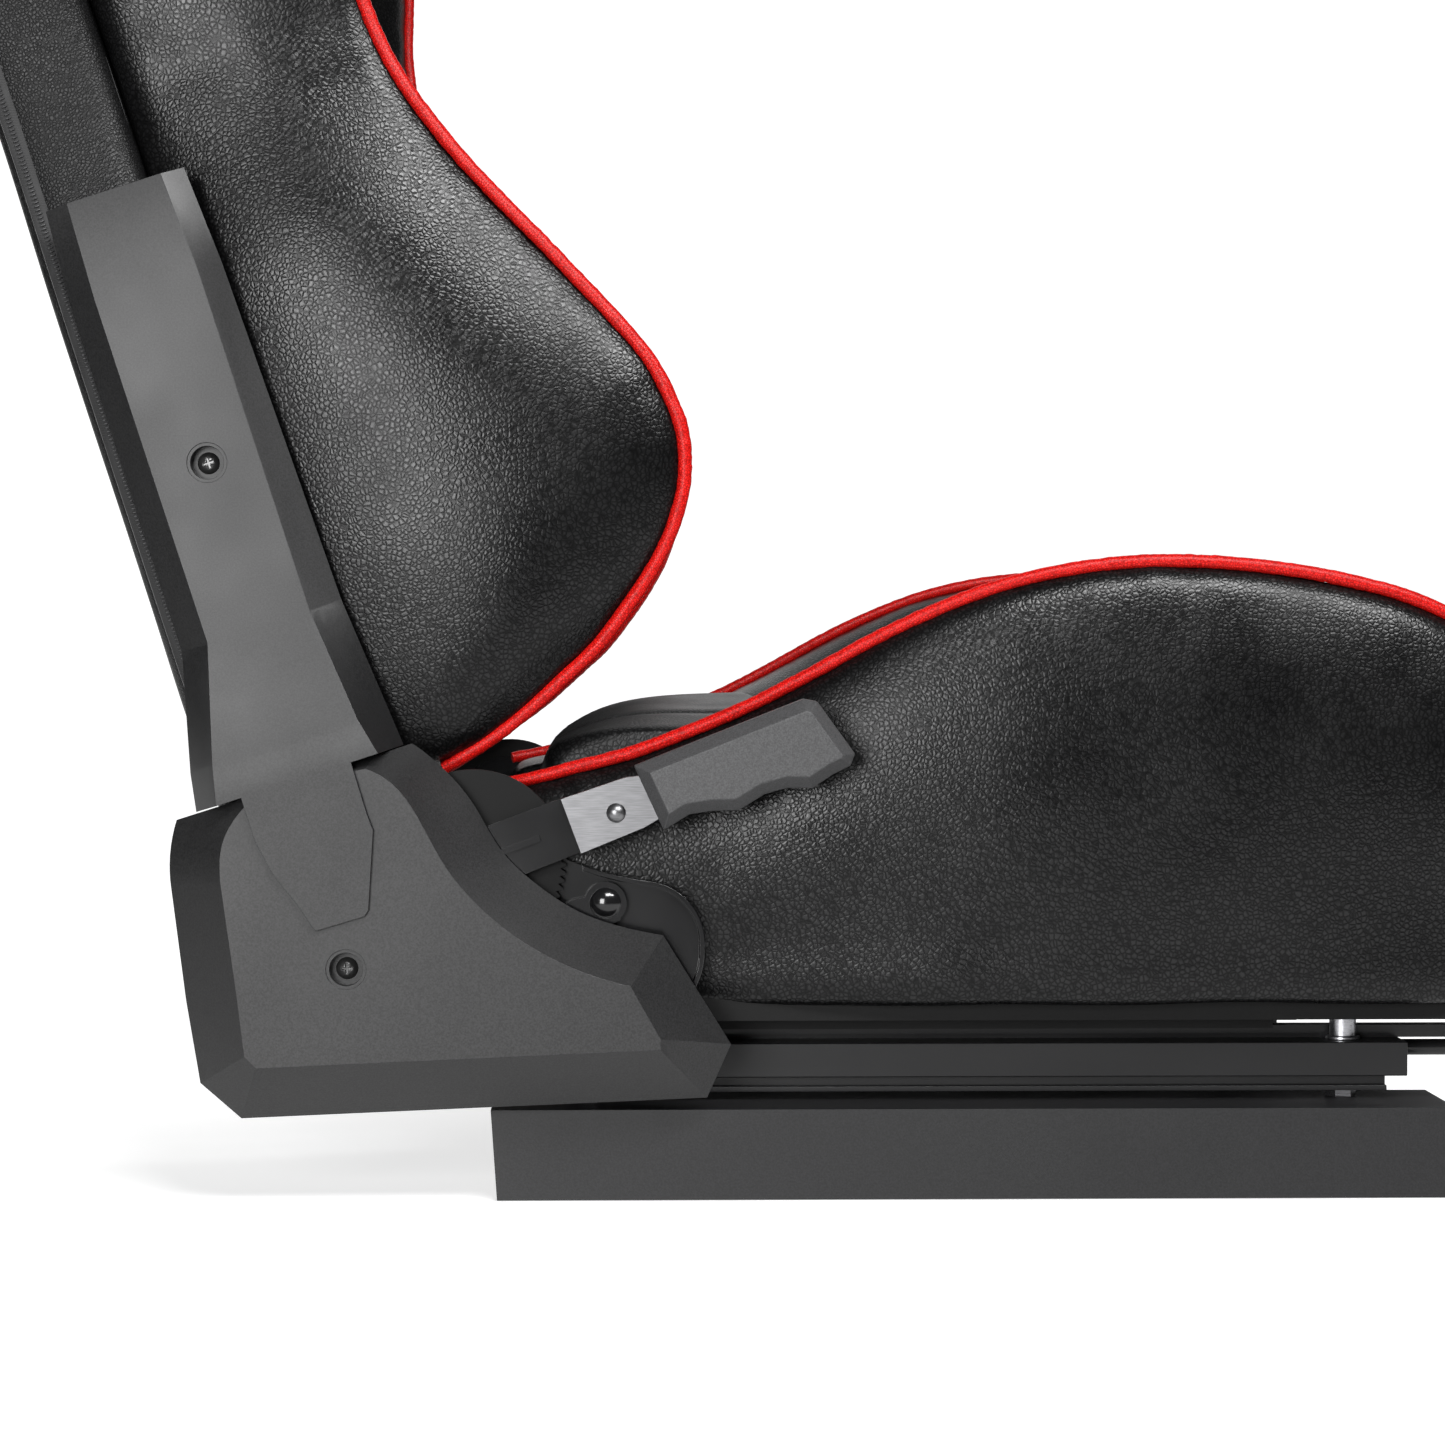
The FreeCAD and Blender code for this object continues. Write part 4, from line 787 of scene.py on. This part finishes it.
def makeCushionBolster(label, side):
    inner = cushion["innerHalf"] + 0.5

    def section(x):
        top = at(cushion["edge"], x)
        out = at(cushion["out"], x)
        pipe = out - cushion["pipeIn"]
        hollow = min(at(cushion["centreTop"], max(x, -206)) - 6, top - 6)
        low = cushion["bottom"]
        drop = max(6.0, (top - low) * 0.22)
        tall = top - low
        dip = top - hollow
        base = cushion["floor"]
        outside = [(pipe, top - 1), (pipe + 6, top - 6), (out - 3, top - drop * 0.55),
                   (out + 0.5, top - drop * 1.1), (out + 1, low + tall * 0.6),
                   (out - 1.5, low + tall * 0.4), (out - 5, low + tall * 0.2)]
        skirt = [(out - 7.5, low + 7), (out - 11, low + 0.5), (out - 18, low + 1), (out - 19, low + 14),
                 (out - 23, base - 1)]
        inside = [(inner + 14, base - 1), (inner, base), (inner, hollow), (inner + 8, hollow + dip * 0.35),
                  (pipe - 26, top - dip * 0.13), (pipe - 8, top - 1)]
        return outside + skirt + inside

    piece = loftPad(f"cushion_bolster_{label}_pad", -235, 297, 9, 9, section,
                    lambda x, y, z: placed(x, side * y, z), 72, "bolster", "seat", True)
    line = [cushionEdgePoint(x, side) for x in range(-234, 296, 3)]
    tree = lineTree(line)[0]
    underside, innerWall = 0.122, 0.176      # held below and inside these, and along the piping
    held = [v.index for v in piece.data.vertices if tree.find(v.co)[2] < seamHold or v.co.z < underside
            or abs(v.co.y) < innerWall]
    puffUp(piece, 1.2, 5, held)
    subdivided(piece)
    soften(piece, 85, 1.6, 3.0 + side)
    pucker(piece, line, 46, 1.7, 11, 1.5 * side)
    pucker(piece, line, 16, 0.8, 5, 4 + side)
    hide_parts(f"cushion_bolster_{label}")
    pipe = [cushionEdgePoint(x, side, 1.6) for x, _ in cushion["edge"]]
    cord = grown(f"cushion_piping_{label}_cord", smoothLine(pipe), pipingTree,
                 {"Radius": 3.3 * mm, "Wrinkle Depth": 1.1 * mm, "Wrinkle Rate": 5.0, "Seed": 1.0 + side},
                 "piping", "seat")
    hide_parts(f"cushion_piping_{label}")


def makeCushionCentre():
    half = cushion["innerHalf"] - 0.5

    def section(y):
        share = 1 - (y / half) ** 2
        crown = 7 * share ** 0.6 if share > 0 else 0
        return [(x, z - 5 + crown) for x, z in cushion["centreTop"]] + cushion["nose"] + cushion["rear"]

    piece = loftPad("cushion_centre_pad", -half, half, 9, 10, section,
                    lambda y, x, z: placed(x, y, z), 110, "centre", "seat")
    underside = 0.124
    held = [v.index for v in piece.data.vertices if v.co.z < underside or abs(v.co.y) > (half - 6) * mm]
    puffUp(piece, 2.0, 8, held)
    subdivided(piece)
    seams = []
    for x in cushion["crossSeams"]:
        seams.append([placed(x, y, at(cushion["centreTop"], x)) for y in range(-120, 121, 2)])
    for side in (-1, 1):
        y = side * cushion["sideSeam"]
        seams.append([placed(x, y, at(cushion["centreTop"], x)) for x in range(-196, 285, 2)])
    seams = sewChannels(piece, seams)
    soften(piece, 70, 1.2, 9.0)
    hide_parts("cushion_centre")
    stitchRows("cushion_stitches", piece, seams, "seat")


back = {
    # how far the piped edge stands forward, by height up the back
    "crest": [(46, -2), (52, 22), (58, 40), (66, 58), (78, 84), (90, 102), (104, 120), (120, 136), (140, 149),
              (162, 155.5), (182, 155), (202, 151), (224, 142), (246, 131.5), (269, 120.5), (300, 105),
              (332, 91), (370, 79), (410, 75), (450, 81), (485, 92), (520, 101), (555, 103), (590, 95),
              (620, 80), (650, 62), (690, 40)],
    "half": [(40, 236), (60, 241), (100, 246), (200, 248), (300, 245), (370, 239), (410, 239), (450, 245),
             (500, 260), (540, 267), (580, 263), (620, 242), (650, 216), (680, 190), (720, 166), (760, 148),
             (785, 127), (800, 98), (806, 60)],
    "inner": [(46, 168), (100, 160), (300, 152), (410, 152), (500, 160), (560, 160), (620, 148), (690, 138)],
    "front": [(46, 2), (80, 16), (120, 27), (170, 32), (230, 28), (320, 20), (450, 16), (560, 18), (620, 20),
              (652, 20), (690, 28), (740, 30), (775, 22), (800, 0), (806, -20)],
    "bulge": [(46, 2), (80, 8), (140, 13), (220, 13), (300, 10), (380, 5), (450, 3), (560, 2), (690, 0)],
    "pipeIn": 5.0,
    "padRear": -46.0,
    "shellRear": -109.0,
    "slot": (75.0, 622.0),         # middle of a harness opening, across and up
    "slotHalf": (45.3, 20.3),
    "slotCut": (-150, 90),         # the cutter runs from here to there
    "pipeHeights": (46, 50, 54, 60, 68, 78, 90, 104, 120, 140, 162, 182, 202, 224, 246, 269, 300, 332,
                    370, 410, 450, 485, 520, 555, 590, 620, 650, 676),
    "topHeights": (712, 742, 770, 790),      # the piping ends beside the head pad
    "crossSeams": (140, 235, 330, 425, 505),
    "sideSeam": 114,
    "centreCrown": (12, 4, 6, 1, 5, 6),
    "headCrown": (14, 5, 7, 0, 2.5, 3),
}
forwardOfBack = (leaned(1, 0, 0) - leaned(0, 0, 0)).normalized()


# true for a point in the rear of the backrest pads, up to that many mm from their rear face
def nearPadRear(point, depth):
    return (point - leaned(back["padRear"] + depth, 0, 300)).dot(forwardOfBack) < 0


# section of a flat pad of the backrest: square at the rear, rounded and crowned at the front
def crownedSection(half, front, crown):
    side, lip, lipIn, shoulder, near, top = crown
    rear = back["padRear"]
    left = [(rear, -half + 6), (rear + 4, -half), (front - side, -half), (front - lip, -half + lipIn),
            (front + shoulder, -half * 0.7), (front + near, -half * 0.35)]
    return mirrored(left, (front + top, 0)) + [(rear, 0)]


def backEdgePoint(w, side, forward=0.0, outward=0.0):
    return leaned(at(back["crest"], w) + forward, side * (at(back["half"], w) - back["pipeIn"] + outward), w)


def makeBackBolster(label, side):
    def section(w):
        crest = at(back["crest"], w)
        pipe = at(back["half"], w) - back["pipeIn"]
        out = at(back["half"], w) + at(back["bulge"], w)
        inner = at(back["inner"], w) + 0.5
        front = min(at(back["front"], w) - 5, crest - 4)
        rear = back["padRear"]
        deep = crest - rear
        gap = pipe - inner
        swell = out - pipe
        outside = [(crest - 0.5, pipe), (crest - 7, pipe + 4.5), (crest - deep * 0.15, pipe + swell * 0.62),
                   (crest - deep * 0.33, out - 0.5), (crest - deep * 0.52, out + 0.5),
                   (rear + deep * 0.24, pipe + swell * 0.72), (rear + 8, pipe + 3), (rear, pipe - 3)]
        inside = [(rear - 1, (pipe + inner) / 2), (rear, inner), (rear * 0.4 + front * 0.6, inner),
                  (front, inner + 1), (front + (crest - front) * 0.45, inner + gap * 0.30),
                  (crest - 7, pipe - gap * 0.28), (crest - 0.5, pipe - 8)]
        return outside + inside

    piece = loftPad(f"back_bolster_{label}_pad", 47, 684, 9, 10, section,
                    lambda w, u, y: leaned(u, side * y, w), 68, "bolster", "backrest",
                    True)
    line = [backEdgePoint(w, side) for w in range(48, 684, 3)]
    tree = lineTree(line)[0]
    innerWall = 0.155
    held = [v.index for v in piece.data.vertices if tree.find(v.co)[2] < seamHold
            or nearPadRear(v.co, 4) or abs(v.co.y) < innerWall]
    puffUp(piece, 1.2, 5, held)
    subdivided(piece)
    soften(piece, 90, 1.8, 20.0 + side)
    pucker(piece, line, 50, 1.9, 12, 30 + side)
    pucker(piece, line, 18, 0.9, 5, 40 + side)
    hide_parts(f"back_bolster_{label}", f"shoulder_wing_{label}")
    path = [backEdgePoint(w, side, 1.5, 0.8) for w in back["pipeHeights"]]
    for w in back["topHeights"]:
        path.append(leaned(at(back["front"], w) - 2, side * (at(back["half"], w) - 3), w))
    cord = grown(f"back_piping_{label}_cord", smoothLine(path), pipingTree,
                 {"Radius": 3.4 * mm, "Wrinkle Depth": 1.2 * mm, "Wrinkle Rate": 5.0, "Seed": 5.0 + side},
                 "piping", "backrest")
    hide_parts(f"back_piping_{label}")


# opens the two harness slots right through a pad
def cutSlots(piece):
    y, w = back["slot"]
    halfWide, halfTall = back["slotHalf"]
    n = 32          # points round the outline
    for side in (-1, 1):
        outline = []
        corner = halfTall * 0.92
        for k in range(n):
            turn = 2 * math.pi * (k + 0.5) / n
            cy = math.copysign(halfWide - corner, math.cos(turn)) + corner * math.cos(turn)
            cw = math.copysign(halfTall - corner, math.sin(turn)) + corner * math.sin(turn)
            outline.append((side * y + cy, w + cw))
        verts = [leaned(u, a, b) for u in back["slotCut"] for a, b in outline]
        faces = [tuple(range(n - 1, -1, -1)), tuple(range(n, 2 * n))]
        faces += [(i, (i + 1) % n, (i + 1) % n + n, i + n) for i in range(n)]
        mesh = bpy.data.meshes.new("slotCutter")
        mesh.from_pydata([tuple(v) for v in verts], [], faces)
        cutter = newObject("slotCutter", mesh)
        tidyNormals(cutter)
        hole = piece.modifiers.new("slot", "BOOLEAN")
        hole.operation = "DIFFERENCE"
        hole.solver = "EXACT"
        hole.object = cutter
        applied(piece)
        bpy.data.objects.remove(cutter)


def makeBackCentre():
    def section(w):
        half = at(back["inner"], w) - 0.5
        return crownedSection(half, at(back["front"], w), back["centreCrown"])

    piece = loftPad("back_centre_pad", 51, 558, 9, 10, section,
                    lambda w, u, y: leaned(u, y, w), 92, "centre", "backrest")
    sideWall = 0.148
    held = [v.index for v in piece.data.vertices if nearPadRear(v.co, 6) or abs(v.co.y) > sideWall]
    puffUp(piece, 2.0, 8, held)
    subdivided(piece)
    seams = []
    for w in back["crossSeams"]:
        seams.append([leaned(at(back["front"], w), y, w) for y in range(-112, 113, 2)])
    for side in (-1, 1):
        y = side * back["sideSeam"]
        seams.append([leaned(at(back["front"], w), y, w) for w in range(62, 548, 2)])
    seams = sewChannels(piece, seams)
    soften(piece, 70, 1.2, 12.0)
    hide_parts("back_centre")
    stitchRows("back_stitches", piece, seams, "backrest")


def makeHeadPad():
    def section(w):
        half = min(at(back["inner"], min(w, 690)) - 0.5, at(back["half"], w) - 8)
        return crownedSection(half, at(back["front"], w), back["headCrown"])

    piece = loftPad("head_pad_cover", 560, 805, 8, 12, section,
                    lambda w, u, y: leaned(u, y, w), 84, "centre", "backrest")
    slotLow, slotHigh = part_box("harness_bezel_right")
    slotReach = 0.135
    held = [v.index for v in piece.data.vertices if nearPadRear(v.co, 6)
            or (slotLow.z - 0.01 < v.co.z < slotHigh.z and abs(v.co.y) < slotReach)]
    puffUp(piece, 1.6, 6, held)
    subdivided(piece)
    soften(piece, 80, 1.2, 15.0)
    cutSlots(piece)
    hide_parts("head_pad")


# the covering over the back of the frame, with its edge seams
def makeBackShell():
    def section(w):
        half = at(back["half"], w)
        rear = back["shellRear"]
        left = [(-48, -half + 8), (-52, -half - 0.5), (-75, -half - 1.5), (rear + 13, -half),
                (rear + 3, -half + 6), (rear - 0.5, -half + 18), (rear - 3, -half * 0.6)]
        return mirrored(left, (rear - 4, 0)) + [(-47.5, 0)]

    piece = loftPad("back_shell_cover", 41, 805, 9, 14, section,
                    lambda w, u, y: leaned(u, y, w), 120, "rear", "backrest")
    subdivided(piece)
    soften(piece, 95, 1.0, 31.0)
    for side in (-1, 1):
        edge = [leaned(back["shellRear"] + 2, side * (at(back["half"], w) - 5), w) for w in range(50, 790, 3)]
        pressLine(piece, edge, 3.0, 1.3)
    cutSlots(piece)
    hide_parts("back_shell")


zipper = {
    "heights": range(60, 700, 4),
    "teeth": (9, 1.0),              # forward of the rear face, out from the side
    "tape": ((4.5, -1.2), (5, 0.2), (8, 0.55), (10, 0.55), (13, 0.4), (13.5, -1.2)),
    "toothSizes": {"Step": 0.0019, "Length": 0.0011, "Width": 0.0030, "Height": 0.0016, "Stagger": 0.0012},
}


# zip down each rear side seam: a cloth tape and staggered teeth
def makeZips():
    for label, side in sides.items():
        teeth, verts = [], []
        for w in zipper["heights"]:
            half = at(back["half"], w)
            forward, lift = zipper["teeth"]
            teeth.append(leaned(back["shellRear"] + forward, side * (half + lift), w))
            for forward, lift in zipper["tape"]:
                verts.append(leaned(back["shellRear"] + forward, side * (half + lift), w))
        n = len(zipper["tape"])
        faces = wallBetween(len(teeth), n) + [tuple(range(n)), tuple(range(len(verts) - n, len(verts)))]
        strip = newPiece(f"zip_tape_{label}", verts, faces, looks["tape"], "backrest")
        tidyNormals(strip)
        grown(f"zip_teeth_{label}", smoothLine(teeth, 4), rowTree, zipper["toothSizes"],
              "zip", "backrest")
        if side == -1:
            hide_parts("zip_strip")


# elastic webbing under the pads: each strap sags a little between its sewn ends
strap = {"thick": 1.6, "sag": 2.5, "rim": 36, "round": 0.25, "steps": 40}


def makeStraps(node, body, sagWay):
    bm = bmesh.new()
    bm.from_mesh(frame["nodes"][node].data)
    bmesh.ops.remove_doubles(bm, verts=bm.verts, dist=0.00001)
    left = set(bm.verts)
    bands = []
    while left:                                  # one group of corners for every strap in the node
        grow, band = [left.pop()], []
        while grow:
            v = grow.pop()
            band.append(v.co.copy())
            for edge in v.link_edges:
                other = edge.other_vert(v)
                if other in left:
                    left.remove(other)
                    grow.append(other)
        bands.append(band)
    bm.free()
    verts, faces = [], []
    for band in bands:
        middle = sum(band, Vector()) / len(band)
        half = max(abs(p.y) for p in band)
        flat = Vector((sagWay.z, 0, -sagWay.x))  # across the strap, square to its sag
        wide = max((p - middle).dot(flat) for p in band)
        ring = []
        for k in range(strap["rim"]):
            turn = 2 * math.pi * k / strap["rim"]
            corner = (math.cos(turn), math.sin(turn))
            ring.append([math.copysign(abs(v) ** strap["round"], v) for v in corner])
        start, steps = len(verts), strap["steps"]
        for i in range(steps + 1):
            y = -half + 2 * half * i / steps
            drop = strap["sag"] * mm * (1 - (y / half) ** 2)
            for a, b in ring:
                spot = middle + flat * (wide * a) + sagWay * (drop + b * strap["thick"] * mm / 2)
                verts.append(Vector((spot.x, y, spot.z)))
        n = len(ring)
        faces += wallBetween(steps + 1, n, start)
        faces.append(tuple(start + j for j in range(n)))
        faces.append(tuple(start + steps * n + j for j in range(n)))
    piece = newPiece(node + "_webbing", verts, faces, looks["webbing"], body)
    tidyNormals(piece)
    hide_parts(node)


makeStraps("cushion_straps", "seat", Vector((0, 0, -1)))
makeStraps("back_straps", "backrest", (leaned(-1, 0, 0) - leaned(0, 0, 0)).normalized())
print("webbing straps done")
for label, side in sides.items():
    makeCushionBolster(label, side)
print("cushion bolsters done")
makeCushionCentre()
print("cushion centre done")
for label, side in sides.items():
    makeBackBolster(label, side)
print("back bolsters done")
makeBackCentre()
makeHeadPad()
print("back centre and head done")
makeBackShell()
makeZips()
print("rear cover and zips done")


# floor and paper in metres: (from, to) pairs run along Y, and the paper spreads like a fan from its apex
studio = {"front": -8.0, "bend": 5.5, "top": 8.0, "half": 9.0, "below": 0.0005,
          "apex": 2.9, "fan": (0.24, 0.55), "paper": (-1.4, -0.8), "glow": (-0.6, 0.3),
          "glowStrength": (0.45, 0.85), "floorGrey": (0.12, 0.12, 0.12), "paperGrey": (0.55, 0.55, 0.55)}


# pale floor that sweeps up behind the seat
def makeStage():
    bend = studio["bend"]
    profile = [(studio["front"], 0.0), (bend, 0.0)]
    for t in range(1, 9):
        turn = t * math.pi / 16
        profile.append((bend + math.sin(turn), 1 - math.cos(turn)))
    profile.append((bend + 1, studio["top"]))
    verts = [(x, y, z - studio["below"]) for y, z in profile for x in (-studio["half"], studio["half"])]
    faces = [(i, i + 1, i + 3, i + 2) for i in range(0, len(verts) - 2, 2)]
    mesh = bpy.data.meshes.new("sweep")
    mesh.from_pydata(verts, [], faces)
    sweep = newObject("sweep", mesh)
    mesh.polygons.foreach_set("use_smooth", [True] * len(mesh.polygons))
    mat, tree, shader, place = newMaterial("sweepPaper")
    shader.inputs["Roughness"].default_value = 0.9
    shader.inputs["Specular IOR Level"].default_value = 0.1
    shader.inputs["Emission Color"].default_value = (1, 1, 1, 1)
    split = tree.nodes.new("ShaderNodeSeparateXYZ")
    tree.links.new(place, split.inputs[0])
    # the white paper widens away from the front; the floor round it is dark grey and doesn't glow
    sideways = mathNode(tree, "ABSOLUTE", split.outputs["X"])
    spread = mathNode(tree, "DIVIDE", sideways, mathNode(tree, "ADD", split.outputs["Y"], studio["apex"]))
    across = rangeNode(tree, spread, *studio["fan"], 1.0, 0.0)
    front = rangeNode(tree, split.outputs["Y"], *studio["paper"], 0.0, 1.0)
    paper = mathNode(tree, "MULTIPLY", across, front)
    colour = colourBetween(tree, paper, studio["floorGrey"], studio["paperGrey"])
    tree.links.new(colour, shader.inputs["Base Color"])
    glow = rangeNode(tree, split.outputs["Y"], *studio["glow"], *studio["glowStrength"])   # brighter behind
    tree.links.new(mathNode(tree, "MULTIPLY", paper, glow), shader.inputs["Emission Strength"])
    mesh.materials.append(mat)


def softLight(name, place, target, width, height, power):
    lamp = bpy.data.lights.new(name, "AREA")
    lamp.shape = "RECTANGLE"
    lamp.size, lamp.size_y = width, height
    lamp.energy = power
    holder = newObject(name, lamp)
    holder.location = place
    holder.rotation_euler = (Vector(place) - Vector(target)).to_track_quat("Z", "Y").to_euler()


shot = {"sensor": 36, "lens": 92.1, "place": (-0.1588, -2.0, 0.2683), "down": 1.355, "right": 1.27}


def makeCamera():
    data = bpy.data.cameras.new("camera")
    data.sensor_width = shot["sensor"]
    data.lens = shot["lens"]
    data.clip_start, data.clip_end = 0.05, 50
    camera = newObject("camera", data)
    camera.location = shot["place"]
    camera.rotation_euler = (math.radians(90 - shot["down"]), 0, math.radians(-shot["right"]))
    bpy.context.scene.camera = camera


makeStage()
makeCamera()
softLight("key", (-0.9, -2.3, 0.5), (-0.35, -0.3, 0.35), width=0.85, height=0.95, power=54)
softLight("rear", (-2.6, 2.2, 1.5), (-0.2, 0.1, 0.4), width=1.4, height=1.2, power=14)
softLight("strip", (0.6, -1.45, 1.6), (0.15, -0.25, 0.25), width=1.5, height=0.4, power=75)
world = bpy.data.worlds.new("studio")
world.use_nodes = True
world.node_tree.nodes["Background"].inputs["Color"].default_value = (1, 1, 1, 1)
world.node_tree.nodes["Background"].inputs["Strength"].default_value = 0.08
bpy.context.scene.world = world
bpy.context.scene.view_settings.view_transform = "Standard"
print("stage ready")
